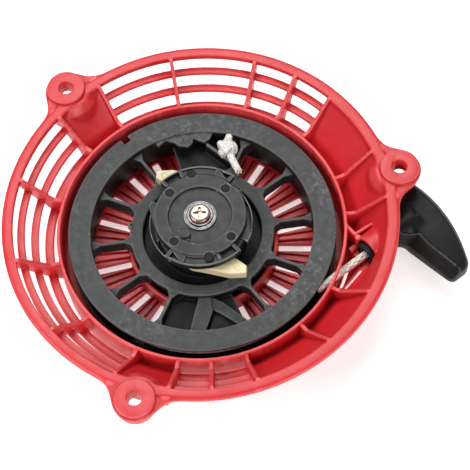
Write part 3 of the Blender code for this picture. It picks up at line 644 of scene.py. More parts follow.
class Finish:
    """A node material in the making."""

    def __init__(self, name):
        self.material = bpy.data.materials.new(name)
        self.material.use_nodes = True
        self.tree = self.material.node_tree
        self.shader = self.tree.nodes["Principled BSDF"]
        self.place = self.node("ShaderNodeTexCoord").outputs["Object"]
        self.height = None

    def node(self, kind, **settings):
        made = self.tree.nodes.new(kind)
        for key, value in settings.items():
            setattr(made, key, value)
        return made

    def link(self, source, target):
        self.tree.links.new(source, target)

    def noise(self, scale, detail=4.0, roughness=0.55, stretch=None):
        made = self.node("ShaderNodeTexNoise")
        made.inputs["Scale"].default_value = scale
        made.inputs["Detail"].default_value = detail
        made.inputs["Roughness"].default_value = roughness
        place = self.place
        if stretch:
            mapping = self.node("ShaderNodeMapping")
            mapping.inputs["Scale"].default_value = stretch
            self.link(place, mapping.inputs["Vector"])
            place = mapping.outputs["Vector"]
        self.link(place, made.inputs["Vector"])
        return made.outputs["Fac"]

    def ramp(self, source, stops):
        made = self.node("ShaderNodeValToRGB")
        points = made.color_ramp.elements
        while len(points) < len(stops):
            points.new(0.5)
        for point, (position, color) in zip(points, stops):
            point.position = position
            point.color = (*color, 1) if len(color) == 3 else color
        self.link(source, made.inputs["Fac"])
        return made.outputs["Color"]

    def level(self, source, low, high, out_low, out_high):
        made = self.node("ShaderNodeMapRange")
        for key, value in (("From Min", low), ("From Max", high), ("To Min", out_low), ("To Max", out_high)):
            made.inputs[key].default_value = value
        self.link(source, made.inputs["Value"])
        return made.outputs["Result"]

    def mix(self, first, second, factor=None, mode="MIX"):
        made = self.node("ShaderNodeMix", data_type="RGBA", blend_type=mode)
        self.link(first, made.inputs["A"])
        self.link(second, made.inputs["B"])
        if factor:
            self.link(factor, made.inputs["Factor"])
        else:
            made.inputs["Factor"].default_value = 1.0
        return made.outputs["Result"]

    def tint(self, first, color, factor):
        """first, moved towards one colour by a factor that varies."""
        flat = self.ramp(factor, ((0.0, color), (1.0, color)))
        return self.mix(first, flat, factor)

    def upward(self, vector):
        made = self.node("ShaderNodeSeparateXYZ")
        self.link(vector, made.inputs["Vector"])
        return made.outputs["Z"]

    def surface(self, what):
        return self.node("ShaderNodeNewGeometry").outputs[what]

    def edges(self, low, high, most):
        """Grows from 0 to most where the surface is sharply convex; the finishes use it to paint highlights
        on edges.
        """
        return self.level(self.surface("Pointiness"), low, high, 0.0, most)

    def crease_shade(self, low, high, most):
        """Grows from 0 to most where the surface is sharply concave; the finishes use it to paint shade into
        creases.
        """
        return self.level(self.surface("Pointiness"), low, high, most, 0.0)

    def wall_shade(self, low, high, most):
        """Falls from most on upright walls to 0 on level faces; the finishes use it to paint shade on upright
        walls.
        """
        return self.level(self.upward(self.surface("Normal")), low, high, most, 0.0)

    def drift(self, scale, detail, dark, light):
        """A colour that wanders between two."""
        return self.ramp(self.noise(scale, detail), ((0.3, dark), (0.7, light)))

    def speckle(self, noise, low, high, out_low, out_high):
        return self.level(self.noise(*noise), low, high, out_low, out_high)

    def grain(self, noise, distance, strength):
        self.bump(self.noise(*noise), distance, strength)

    def roughness(self, scale, detail, low, high):
        """Roughness that wanders between two values."""
        return self.level(self.noise(scale, detail), 0.3, 0.7, low, high)

    def bump(self, source, distance, strength=0.6):
        made = self.node("ShaderNodeBump")
        made.inputs["Strength"].default_value = strength
        made.inputs["Distance"].default_value = distance
        self.link(source, made.inputs["Height"])
        if self.height:
            self.link(self.height, made.inputs["Normal"])
        self.height = made.outputs["Normal"]
        self.link(self.height, self.shader.inputs["Normal"])

    def done(self, color, roughness, metallic=0.0, specular=0.5):
        self.link(color, self.shader.inputs["Base Color"])
        self.link(roughness, self.shader.inputs["Roughness"])
        self.shader.inputs["Metallic"].default_value = metallic
        self.shader.inputs["Specular IOR Level"].default_value = specular
        return self.material


def red_plastic():
    """Glossy moulded plastic: slight colour drift, fine grain, edges lightened as a painted highlight and
    creases darkened as painted shade.
    """
    f = Finish("red_plastic")
    body = f.ramp(f.noise(28, 3), ((0.30, (0.55, 0.014, 0.019)), (0.70, (0.61, 0.020, 0.026))))
    # Painted highlight: sharply convex edges are tinted paler.
    body = f.tint(body, (0.86, 0.15, 0.15), f.edges(0.508, 0.550, 0.55))
    # Painted shade: sharply concave creases are tinted near black.
    body = f.tint(body, (0.18, 0.003, 0.004), f.crease_shade(0.440, 0.492, 0.55))
    body = f.tint(body, (0.46, 0.010, 0.014), f.speckle((420, 2), 0.62, 0.80, 0.0, 0.35))
    rough = f.roughness(160, 4, 0.34, 0.46)
    f.grain((900, 3), 0.00006, 0.35)
    f.grain((90, 2), 0.00025, 0.25)
    return f.done(body, rough)


def black_nylon():
    """Dry dark grey nylon with a mottled, lightly scuffed face, with painted shade on upright walls, low
    faces and creases, and painted highlights on edges.
    """
    f = Finish("black_nylon")
    mottle = f.noise(260, 6, 0.7)
    # The mottled grey is partly the nylon's own tone and partly a painted sheen, which only the level faces
    # keep.
    stops = ((0.36, (0.052, 0.054, 0.055)), (0.52, (0.068, 0.070, 0.071)), (0.68, (0.096, 0.098, 0.098)))
    body = f.ramp(mottle, stops)
    body = f.tint(body, (0.056, 0.059, 0.059), f.speckle((34, 3), 0.35, 0.60, 0.65, 0.0))
    patches = f.speckle((28, 2), 0.50, 0.66, 0.0, 1.0)
    specks = f.speckle((420, 6, 0.8), 0.50, 0.64, 0.0, 1.0)
    scuffs = f.mix(patches, specks, mode="MULTIPLY")
    body = f.tint(body, (0.26, 0.265, 0.26), f.level(scuffs, 0.0, 1.0, 0.0, 0.45))
    # Painted shade: upright walls are darkened to near black.
    body = f.tint(body, (0.006, 0.006, 0.0065), f.wall_shade(0.20, 0.90, 0.92))
    # Painted shade: faces below about 15 to 18 mm height, the hub well and pocket floors, darken to near
    # black.
    body = f.tint(body, (0.004, 0.004, 0.0045), f.level(f.upward(f.place), 0.0145, 0.0182, 0.95, 0.0))
    # Painted shade: concave creases are darkened.
    body = f.tint(body, (0.006, 0.006, 0.006), f.crease_shade(0.440, 0.492, 0.80))
    # Painted highlight: sharp edges are tinted pale grey.
    body = f.tint(body, (0.22, 0.225, 0.22), f.edges(0.506, 0.550, 0.55))
    rough = f.roughness(120, 5, 0.40, 0.58)
    f.grain((1100, 4), 0.00007, 0.45)
    return f.done(body, rough, specular=0.14)


def guide_nylon():
    """The guide's smoother black nylon, with painted shade on upright walls and painted highlights on edges.
    """
    f = Finish("guide_nylon")
    body = f.ramp(f.noise(180, 5), ((0.32, (0.022, 0.0225, 0.023)), (0.68, (0.044, 0.045, 0.046))))
    # Painted shade: upright walls are darkened.
    body = f.tint(body, (0.005, 0.005, 0.0055), f.wall_shade(0.20, 0.90, 0.85))
    # Painted highlight: sharp edges are tinted pale grey.
    body = f.tint(body, (0.30, 0.30, 0.295), f.edges(0.506, 0.545, 0.75))
    rough = f.roughness(220, 4, 0.36, 0.50)
    f.grain((1200, 3), 0.00005, 0.4)
    return f.done(body, rough, specular=0.24)


def dot_nylon():
    """The duller ejector marks on the guide."""
    f = Finish("dot_nylon")
    body = f.drift(600, 4, (0.006, 0.006, 0.0065), (0.013, 0.013, 0.0135))
    f.grain((1500, 3), 0.00006, 0.5)
    return f.done(body, f.roughness(400, 3, 0.62, 0.78), specular=0.3)


def grip_plastic():
    """Satin black grip, with painted highlights on its edges."""
    f = Finish("grip_plastic")
    body = f.drift(60, 4, (0.0060, 0.0062, 0.0068), (0.0105, 0.0108, 0.0115))
    # Painted highlight: sharp edges and the ridge are tinted grey.
    body = f.tint(body, (0.10, 0.10, 0.102), f.edges(0.506, 0.540, 0.60))
    rough = f.roughness(300, 4, 0.34, 0.46)
    f.grain((1300, 3), 0.00005, 0.4)
    return f.done(body, rough, specular=0.16)


def natural_nylon():
    """Unpigmented cream nylon with a few darker smears."""
    f = Finish("natural_nylon")
    body = f.drift(140, 4, (0.70, 0.60, 0.34), (0.82, 0.74, 0.50))
    body = f.tint(body, (0.34, 0.27, 0.15), f.speckle((380, 3), 0.60, 0.78, 0.0, 0.45))
    rough = f.roughness(200, 3, 0.36, 0.52)
    f.grain((900, 3), 0.00005, 0.4)
    return f.done(body, rough, specular=0.45)


def braided_rope():
    """Off-white fibre with coloured flecks and dirt in the lay."""
    f = Finish("braided_rope")
    stops = ((0.3, (0.55, 0.52, 0.46)), (0.5, (0.80, 0.78, 0.73)), (0.7, (0.92, 0.91, 0.88)))
    body = f.ramp(f.noise(500, 4), stops)
    body = f.tint(body, (0.42, 0.10, 0.08), f.speckle((760, 1), 0.66, 0.72, 0.0, 0.7))
    body = f.tint(body, (0.14, 0.12, 0.10), f.speckle((1500, 3), 0.34, 0.46, 0.75, 0.0))
    rough = f.roughness(300, 2, 0.75, 0.95)
    f.grain((1500, 3), 0.00018, 0.7)
    return f.done(body, rough, specular=0.25)


def metal(name, dark, light, rough_low, rough_high, scale=420, stretch=None, stain=None):
    """Plated or bright metal with fine scratches and, where asked, stains."""
    f = Finish(name)
    body = f.ramp(f.noise(scale, 5, 0.6, stretch), ((0.3, dark), (0.7, light)))
    if stain:
        body = f.tint(body, stain, f.speckle((scale * 1.6, 3), 0.56, 0.74, 0.0, 0.7))
    rough = f.roughness(scale * 0.7, 4, rough_low, rough_high)
    f.grain((2400, 2, 0.5, stretch), 0.00003, 0.4)
    return f.done(body, rough, metallic=1.0), name


# Each finish with the record's slot that it belongs to
RED = red_plastic(), "red_plastic"
BLACK = black_nylon(), "black_nylon"
GUIDE_BLACK = guide_nylon(), "black_nylon"
DOT_BLACK = dot_nylon(), "black_nylon"
GRIP_BLACK = grip_plastic(), "grip_plastic"
CREAM = natural_nylon(), "natural_nylon"
ROPE = braided_rope(), "rope"
STEEL = metal("zinc_steel", (0.09, 0.09, 0.09), (0.24, 0.235, 0.23), 0.24, 0.40)
SPRING = metal("spring_steel", (0.06, 0.06, 0.065), (0.16, 0.16, 0.165), 0.30, 0.45, 300, (1, 1, 6))
STAIN = (0.34, 0.19, 0.12)
COPPER = metal("tinted_steel", (0.30, 0.20, 0.16), (0.66, 0.50, 0.42), 0.22, 0.38, 700, None, STAIN)


def placed(name, data):
    obj = bpy.data.objects.new(name, data)
    bpy.context.scene.collection.objects.link(obj)
    return obj


def dressed(name, data, material):
    data.materials.clear()
    data.materials.append(material)
    data.shade_smooth()
    return placed(name, data)


def piece(name, data, body, node, finish):
    material, slot = finish
    obj = dressed(name, data, material)
    data.set_sharp_from_angle(angle=math.radians(SHARP_ANGLE))
    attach(obj, body)
    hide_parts(node)
    return obj


# ---- housing ----

def wall_radius(z):
    return RIM_INNER_R - WALL_SLOPE * (RIM_Z - z)


def ears(x, y):
    """Distance from above to the nearest ear's hole centre."""
    best = np.float32(FAR)
    for angle in EAR_ANGLES:
        centre = polar(EAR_HOLE_CIRCLE_R, angle)
        best = np.minimum(best, np.hypot(x - centre.x, y - centre.y))
    return best


def rim_shape(x, y, z):
    r = np.hypot(x, y)
    outline = smooth_min(r - RIM_R, ears(x, y) - EAR_PLATE_R, EAR_BLEND)
    flat = smooth_max(outline, np.maximum(RIM_Z - RIM_T - z, z - RIM_Z), 0.0005)
    return np.maximum(flat, RIM_INNER_R - 0.0012 - r)


def wall_shape(x, y, z):
    angle = np.degrees(np.arctan2(y, x))
    away = np.abs((angle - OUTLET_BULGE_ANGLE + 180) % 360 - 180) / OUTLET_BULGE_HALF
    bulge = OUTLET_BULGE * np.cos(np.minimum(away, 1) * np.pi / 2) ** 2
    up = np.clip((RIM_Z - z) / (RIM_Z - WALL_MID_Z), 0, 1)
    down = np.clip((z - WALL_LOW_Z) / (WALL_MID_Z - WALL_LOW_Z), 0, 1)
    middle = wall_radius(z) + bulge * np.minimum(up, down) + WALL_T / 2
    across = (np.abs(np.hypot(x, y) - middle) - WALL_T / 2) / math.hypot(1, WALL_SLOPE)
    return np.maximum(across, np.maximum(WALL_FOOT_Z - z, z - RIM_Z))


def rib_outline(reach):
    """A rib seen from its side: flat by the ring, rising to the rim, then down outside the wall."""
    start = RING_IN_R + 0.0008
    outer = [(wall_radius(z) + reach, z) for z in (RIB_SHOULDER_Z, RIB_FOOT_Z)]
    return [
        (start, RIB_FLAT_Z), (RIB_FLAT_R, RIB_FLAT_Z), (RIB_RIM_R, RIB_RIM_Z),
        (RIM_INNER_R + 0.0002, RIB_RIM_Z), (RIM_INNER_R + 0.0015, RIB_LIP_Z), *outer,
        (start, RIB_FOOT_Z - RIB_FOOT_DROP),
    ]


def make_housing():
    field = Field((-0.0945, -0.0950, 0.0), (0.1078, 0.0950, EAR_BOSS_TOP), HOUSING_STEP)
    field.add(rim_shape)
    field.add(wall_shape, blend=0.0016)
    base = (
        (0, 0), (RING_OUT_R - 0.002, 0), (RING_OUT_R, 0.002), (RING_OUT_R, RING_TOP_Z),
        (RING_IN_R, RING_TOP_Z), (RING_IN_R, FLOOR_T), (0, FLOOR_T),
    )
    field.add(revolved(base), blend=0.0012)

    # The rim swells inward round each ear's boss, down the wall
    for angle in EAR_ANGLES:
        centre = polar(EAR_HOLE_CIRCLE_R, angle)
        swell = both(revolved(SWELL, centre), revolved(SWELL_LIMIT))
        field.add(swell, around(centre, 0.019, 0.022, 0.040), 0.0007)

    # Open bays, then the louvre bars and ribs across them
    inner, under, above = RING_OUT_R + 0.0003, RIM_Z - RIM_T - 0.0003, RIM_Z + 0.004
    bay = (
        (inner, BAY_LOW_Z), (BAY_R, BAY_LOW_Z), (BAY_R, under), (RIM_OPEN_R, under), (RIM_OPEN_R, above),
        (inner, above),
    )
    for start, stop in LOUVRE_GROUPS:
        field.cut(both(revolved(bay), sector(start, stop)), blend=0.0006)
    for start, stop in LOUVRE_GROUPS:
        for inner, outer, top in LOUVRE_RINGS:
            bar = ring_bar(inner, outer, top - LOUVRE_T, top, 0.0004)
            field.add(both(bar, sector(start - LOUVRE_OVERLAP, stop + LOUVRE_OVERLAP)), blend=0.0004)
    for angles, reach in ((LOUVRE_RIBS, LOUVRE_REACH), (SOLID_RIBS, WALL_T / 2)):
        for angle in angles:
            ends = [polar(RING_IN_R, angle), polar(0.0945, angle)]
            rib = both(radial_plate(rib_outline(reach), angle, RIB_T), forward(angle))
            field.add(rib, box_of(ends, 0.003, 0.006, 0.037), 0.0003)

    # Ears: raised bosses with their bolt holes
    for angle in EAR_ANGLES:
        x, y, _ = polar(EAR_HOLE_CIRCLE_R, angle)
        boss = upright(x, y, EAR_BOSS_R, RIM_Z - EAR_BOSS_DEPTH, EAR_BOSS_TOP, 0.0005)
        field.add(boss, around((x, y), 0.012, 0.028, 0.040), 0.0005)
        hole = upright(x, y, EAR_HOLE_R, EAR_HOLE_LOW_Z, 0.042)
        field.cut(hole, around((x, y), 0.006, 0.018, 0.040), 0.0004)

    # Floor: post, spring wall, air slots and two grooves along each slat
    post = (
        (0, 0.001), (POST_R, 0.001), (POST_R, POST_TOP_Z), (SCREW_HOLE_R, POST_TOP_Z),
        (SCREW_HOLE_R, SCREW_HOLE_Z), (0, SCREW_HOLE_Z),
    )
    field.add(revolved(post), around((0, 0), 0.009, 0, 0.032), 0.0006)
    spring_wall = ring_bar(*SPRING_WALL_R, 0.001, SPRING_WALL_Z, 0.0004)
    field.add(spring_wall, around((0, 0), 0.037, 0, 0.012), 0.0008)
    inner, outer = FLOOR_SLOT_R
    for i in range(FLOOR_SLOTS):
        angle = 360 * i / FLOOR_SLOTS
        for turn, half, low in FLOOR_CUTS:
            a, b = polar(inner, angle + turn), polar(outer, angle + turn)
            field.cut(prism(strip(a, b, half), low, 0.0035), box_of((a, b), 0.003, 0, 0.004), 0.0003)

    add_outlet(field)
    data = field.mesh("housing_shell", LARGE_PIECE)
    piece("housing_shell", data, "housing", "housing", RED)
    edge, top = RIM_MARK_RADIUS, RIM_Z + 0.0002
    low = RIM_Z - 0.0005
    profile = ((0, low), (edge, low), (edge, top - 0.0001), (edge - 0.00015, top), (0, top))
    for i, (radius, angle) in enumerate(RIM_MARKS):
        mark = turned_mesh(f"rim_mark_{i + 1}", profile, 36, Matrix.Translation(polar(radius, angle)))
        piece(mark.name, mark, "housing", "housing", RED)


def add_outlet(field):
    """Collar, trough and bore, the window in the ring wall, guard, knob, strut, block and slits."""
    def add(shape, blend=0.0004):
        field.add(shape, OUTLET_BOX, blend)

    def cut(shape, blend=0.0):
        field.cut(shape, OUTLET_BOX, blend)

    add(rope_rod(*OUTLET_COLLAR, 0.0010), 0.0010)
    add(both(rope_rod(*OUTLET_TROUGH), slab(-FAR, OUTLET_TROUGH_TOP)), 0.0005)
    cut(both(rope_rod(*OUTLET_MOUTH), slab(OUTLET_MOUTH_LOW, FAR)), 0.0005)
    cut(rope_rod(*OUTLET_BORE), 0.0005)
    field.cut(rope_rod(*RING_WINDOW), RING_WINDOW_BOX, 0.0006)
    add(plate(*ROPE_GUARD))
    add(upright(*GUARD_KNOB))
    add(plate(*GUARD_STRUT), 0.0002)
    add(prism(flat([on_rope_line(*corner) for corner in ROPE_BLOCK]), *ROPE_BLOCK_Z, 0.0005))
    cut(both(ring_bar(*CURVED_SLIT), sector(*CURVED_SLIT_ANGLES)))
    start, stop = STRAIGHT_SLIT
    cut(plate(polar(*start).xy, polar(*stop).xy, *STRAIGHT_SLIT_SIZE))


# ---- reel ----

def make_reel():
    reach = 0.0650
    field = Field((-reach, -reach, 0.0050), (reach, reach, 0.0305), REEL_STEP)
    top, low = REEL_TOP_Z, REEL_LOW_Z
    drum = (
        (REEL_R, top - 0.0003), (REEL_R, top - FLANGE_T), (DRUM_R, top - FLANGE_T), (DRUM_R, low + FLANGE_T),
        (REEL_R, low + FLANGE_T), (REEL_R, low), (DRUM_IN_R, low), (DRUM_IN_R, top - 0.0003),
        (DRUM_IN_R + 0.0004, top), (REEL_R - 0.0004, top),
    )
    field.add(revolved(drum))
    low, high = SPOKE_Z
    for i in range(SPOKES):
        angle = SPOKE_FIRST + 360 * i / SPOKES
        if angle in POCKET_ANGLES:
            continue
        c, s = cos_sin(angle)
        outline = [(r * c - w * s, r * s + w * c) for r, w in SPOKE_FLARE]
        outline += [(r * c + w * s, r * s - w * c) for r, w in reversed(SPOKE_FLARE)]
        box = box_of((polar(HUB_RING_R - 0.001, angle), polar(0.0520, angle)), 0.006, low, high)
        field.add(prism(outline, low, high, 0.0006), box, 0.0010)
    plate_low, plate_top = HUB_PLATE_Z
    ring_low = high - HUB_RING_T
    hub = (
        (SLEEVE_IN_R, SLEEVE_LOW_Z), (SLEEVE_R, SLEEVE_LOW_Z), (SLEEVE_R, plate_low),
        (CUP_IN_R + 0.002, plate_low), (CUP_IN_R + 0.002, ring_low), (HUB_RING_R, ring_low),
        (HUB_RING_R, high), (CUP_IN_R + 0.0006, high), (CUP_IN_R, high - 0.0006),
        (CUP_IN_R, plate_top), (PEDESTAL_R, plate_top), (PEDESTAL_R, PEDESTAL_Z - 0.0005),
        (PEDESTAL_R - 0.0005, PEDESTAL_Z), (NECK_R, PEDESTAL_Z), (NECK_R, NECK_TOP_Z),
        (SLEEVE_IN_R, NECK_TOP_Z),
    )
    field.add(revolved(hub), around((0, 0), 0.036, 0.004, 0.028), 0.0010)
    for angles in POCKET_FLOORS:
        floor = ring_bar(HUB_RING_R - 0.001, 0.0543, *POCKET_FLOOR_Z, 0.0005)
        field.add(both(floor, sector(*angles)), blend=0.0006)
    add_braces(field)
    for side in (1, -1):
        x, y, _ = side * PIVOT
        pin = upright(x, y, PIVOT_PIN_R, *PIVOT_PIN_Z, 0.0006)
        field.add(pin, around((x, y), 0.004, 0.022, 0.031), 0.0008)
    notch = both(radial_plate(NOTCH, NOTCH_ANGLE, NOTCH_W), forward(NOTCH_ANGLE))
    field.cut(notch, around(polar(0.0630, NOTCH_ANGLE), 0.008, 0.018, 0.024), 0.0005)
    start, stop, z, radius = KNOT_HOLE
    hole = rod(polar(start, KNOT_ANGLE, z), polar(stop, KNOT_ANGLE, z), radius)
    field.cut(hole, around(polar(0.0550, KNOT_ANGLE), 0.006, 0.014, 0.022), 0.0006)
    field.soften()
    data = field.mesh("reel_body", LARGE_PIECE)
    piece("reel_body", data, "reel", "reel", BLACK)


def add_braces(field):
    """The wall by the rope's knot, the hub's small clip, and the flap and Y at the closed pockets."""
    a, b = (polar(*end) for end in KNOT_WALL)
    wall = plate(a.xy, b.xy, KNOT_WALL_T, *KNOT_WALL_Z, 0.0006)
    field.add(wall, box_of((a, b), 0.004, *KNOT_WALL_Z), 0.0012)
    clip = cord([polar(*point) for point in SPRING_CLIP], SPRING_CLIP_R)
    field.add(clip, around(polar(0.0345, 162), 0.005, 0.017, 0.022), 0.0003)
    for outline, low, high in RAISED_PARTS:
        points = [polar(*point) for point in outline]
        field.add(prism(flat(points), low, high, 0.0006), box_of(points, 0.002, low, high), 0.0006)


# ---- ratchets, guide and small springs ----

def make_ratchets():
    z0, z1 = RATCHET_Z
    for name, node, side in (("pawl_a", "ratchet_a", 1), ("pawl_b", "ratchet_b", -1)):
        field = Field(*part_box(node), SMALL_STEP)
        pivot = side * PIVOT
        blade = [(side * x, side * y) for x, y in RATCHET_BLADE]
        eye = [PIVOT + polar(RATCHET_EYE_R - 0.0001, a) for a in range(60, 241, 15)]
        outline = [(side * p.x, side * p.y) for p in eye] + blade
        field.add(prism(outline, z0, z1, 0.0008))
        field.cut(upright(pivot.x, pivot.y, 0.0024, z0 - 0.001, z1 + 0.001), blend=0.0005)
        dimple = side * Vector((0.0115, -0.0285, 0))
        field.cut(upright(dimple.x, dimple.y, 0.0014, z1 - 0.0004, z1 + 0.001), blend=0.0003)
        field.soften()
        piece(name, field.mesh(name, SMALL_PIECE), node, node, CREAM)


def make_guide():
    field = Field(*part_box("ratchet_guide"), GUIDE_STEP)
    neck_in, neck_out, neck_low = GUIDE_NECK
    dish_low = GUIDE_DISH_Z - 0.0024
    body = (
        (GUIDE_BORE_R, dish_low), (neck_in, dish_low), (neck_in, neck_low), (neck_out, neck_low),
        (neck_out, GUIDE_LOW_Z), (GUIDE_R, GUIDE_LOW_Z), (GUIDE_R, GUIDE_TOP_Z - 0.0004),
        (GUIDE_R - 0.0005, GUIDE_TOP_Z), (GUIDE_DISH_R + 0.0005, GUIDE_TOP_Z),
        (GUIDE_DISH_R, GUIDE_TOP_Z - 0.0004), (GUIDE_DISH_R, GUIDE_DISH_Z), (GUIDE_BORE_R, GUIDE_DISH_Z),
    )
    field.add(revolved(body))

    def arc(inner, outer, low, high, rounding, angles):
        return both(ring_bar(GUIDE_R + inner, GUIDE_LOBE_R + outer, low, high, rounding), sector(*angles))

    for turn in (0, 180):
        lobe_at, panel_at, window_at = (
            [a + turn for a in angles] for angles in (GUIDE_LOBE, GUIDE_PANEL, GUIDE_WINDOW)
        )
        field.add(arc(-0.002, 0, GUIDE_LOW_Z + 0.0003, GUIDE_LOBE_Z, 0.0005, lobe_at), blend=0.0005)
        # Recesses that leave a thin raised rim: a long shallow one, a deep one and a triangle
        low = GUIDE_LOBE_Z - 0.0012
        field.cut(arc(0.0006, -0.0010, low, GUIDE_CUT_TOP, 0.0004, panel_at), blend=0.0003)
        low = GUIDE_LOW_Z + 0.0012
        field.cut(arc(0.0002, -0.0009, low, GUIDE_CUT_TOP, 0.0003, window_at), blend=0.0003)
        low = (GUIDE_LOW_Z + GUIDE_LOBE_Z) / 2 - 0.0006
        corners = flat([polar(r, a + turn) for r, a in GUIDE_TRIANGLE])
        triangle = prism(corners, low, GUIDE_CUT_TOP, 0.0002)
        field.cut(triangle, around(polar(0.0245, 48 + turn), 0.006, 0.030, 0.037))
    # Lips at both sides of the disc, below its face
    for inner, outer, low, high, start, stop in GUIDE_LIPS:
        field.add(both(ring_bar(inner, outer, low, high, 0.0004), sector(start, stop)), blend=0.0003)
    for dot in GUIDE_DOTS:
        x, y, _ = polar(*dot)
        hole = upright(x, y, GUIDE_DOT_R, GUIDE_TOP_Z - 0.0006, GUIDE_CUT_TOP)
        field.cut(hole, around((x, y), 0.003, 0.035, 0.037))
    # A spoon-shaped rise in the dish with a curved slit beside it
    start, stop = (polar(*end).xy for end in GUIDE_SPOON)
    spoon = plate(start, stop, GUIDE_SPOON_T, GUIDE_DISH_Z - 0.001, GUIDE_TOP_Z + 0.0001, 0.0014)
    field.add(spoon, around(polar(0.0128, -143), 0.006, 0.032, 0.037), 0.0010)
    slit = cord([polar(r, a, GUIDE_DISH_Z) for r, a in GUIDE_SLIT], GUIDE_SLIT_R)
    field.cut(slit, around(polar(0.0120, -130), 0.006, 0.032, 0.037))
    field.soften()
    data = field.mesh("ratchet_guide_disc", GUIDE_PIECE)
    piece("ratchet_guide_disc", data, "ratchet_guide", "ratchet_guide", GUIDE_BLACK)
    low, high = GUIDE_TOP_Z - 0.0012, GUIDE_TOP_Z - 0.0003
    rim = GUIDE_DOT_R + 0.00005
    profile = ((0, low), (rim, low), (rim, high - 0.0001), (rim - 0.0002, high), (0, high - 0.00005))
    for i, dot in enumerate(GUIDE_DOTS):
        data = turned_mesh(f"guide_dot_{i + 1}", profile, 32, Matrix.Translation(polar(*dot)))
        piece(data.name, data, "ratchet_guide", "ratchet_guide", DOT_BLACK)


def tube(name, points, radius, sides, braid=0.0, strands=4, lay=0.0):
    """A mesh tube through points. braid raises crossing strands on it by that share of its radius."""
    vertices = []
    travelled = 0.0
    normal = None
    for i, point in enumerate(points):
        ahead = points[min(i + 1, len(points) - 1)] - points[max(i - 1, 0)]
        ahead.normalize()
        if normal is None:
            normal = ahead.cross(Vector((0, 0, 1)) if abs(ahead.z) < 0.9 else Vector((1, 0, 0)))
        normal = (normal - ahead * normal.dot(ahead)).normalized()
        other = ahead.cross(normal)
        if i:
            travelled += (point - points[i - 1]).length
        for k in range(sides):
            angle = 2 * math.pi * k / sides
            reach = radius
            if braid:
                turn = 2 * math.pi * travelled / lay
                one, two = math.cos(strands * angle + turn), math.cos(strands * angle - turn)
                reach = radius * (1 - braid * (1 - max(one, two)))
            vertices.append(point + (normal * math.cos(angle) + other * math.sin(angle)) * reach)
    quads = []
    for i in range(len(points) - 1):
        for k in range(sides):
            a, b = i * sides + k, i * sides + (k + 1) % sides
            quads.append((a, b, b + sides, a + sides))
    last = (len(points) - 1) * sides
    quads.append(tuple(reversed(range(sides))))
    quads.append(tuple(range(last, last + sides)))
    data = bpy.data.meshes.new(name)
    data.from_pydata(vertices, [], quads)
    return data


def line(start, end, step):
    count = max(2, int((end - start).length / step))
    return [start.lerp(end, i / count) for i in range(count + 1)]


def make_small_springs():
    for side, turn in (("a", 180), ("b", 0)):
        path = [(PAWL_SPRING_R, turn + 45 - 2 * i) for i in range(36)]
        path += [(PAWL_SPRING_R - 0.0018 * t, turn - 27 - 6 * t) for t in (0.33, 0.66, 1)]
        name, node = f"pawl_spring_{side}", f"ratchet_spring_{side}"
        wire = tube(name, [polar(r, a, PAWL_SPRING_Z) for r, a in path], PAWL_SPRING_WIRE, 12)
        piece(name, wire, "reel", node, SPRING)


# ---- screw, washer, collar ----

def turned_mesh(name, profile, sides, place=None):
    """A closed solid of revolution from (radius, height) points."""
    vertices, quads = [], []
    count = len(profile)
    for i in range(sides):
        angle = 2 * math.pi * i / sides
        for r, z in profile:
            vertex = Vector((r * math.cos(angle), r * math.sin(angle), z))
            vertices.append(place @ vertex if place else vertex)
        for k in range(count):
            j = (i + 1) % sides
            m = (k + 1) % count
            quads.append((i * count + k, j * count + k, j * count + m, i * count + m))
    data = bpy.data.meshes.new(name)
    data.from_pydata(vertices, [], quads)
    data.update()
    return data


def make_screw():
    piece("screw_flange", turned_mesh("screw_flange", COLLAR, 72), "housing", "screw_collar", STEEL)
    piece("screw_ring", turned_mesh("screw_ring", WASHER, 64), "housing", "screw_washer", STEEL)
    low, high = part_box("centre_screw")
    field = Field((-SCREW_REACH, -SCREW_REACH, SCREW_LOW_Z), (SCREW_REACH, SCREW_REACH, high.z), SCREW_STEP)
    field.add(revolved(SCREW_HEAD))
    for start, stop in CROSS_SLOTS:
        field.cut(plate(start, stop, CROSS_W, *CROSS_Z), blend=0.0002)
    radius, depth = CROSS_MIDDLE
    field.cut(upright(0, 0, radius, depth, CROSS_Z[1]), blend=0.0002)
    field.soften()
    head = field.mesh("pan_head_screw", SCREW_PIECE)
    outline = (
        (0, low.z), (SHANK_R - 0.0001, low.z), (SHANK_R, low.z + 0.0002), (SHANK_R, SHANK_TOP_Z),
        (0, SHANK_TOP_Z),
    )
    shank = turned_mesh("shank", outline, 32)
    piece("screw_shank", shank, "housing", "centre_screw", COPPER)
    piece("pan_head_screw", head, "housing", "centre_screw", COPPER)


# ---- rope, eyelet and grip ----

def knot_points(centre, size, facing):
    """An overhand knot: a trefoil squeezed into a lump."""
    side = facing.cross(Vector((0, 0, 1))).normalized()
    other = facing.cross(side)
    points = []
    for i in range(40):
        t = 2 * math.pi * i / 39
        a = (math.sin(t) + 2 * math.sin(2 * t)) / 3
        b = (math.cos(t) - 2 * math.cos(2 * t)) / 3
        c = -math.sin(3 * t) * 0.42
        points.append(centre + (side * a + other * b + facing * c) * size)
    return points


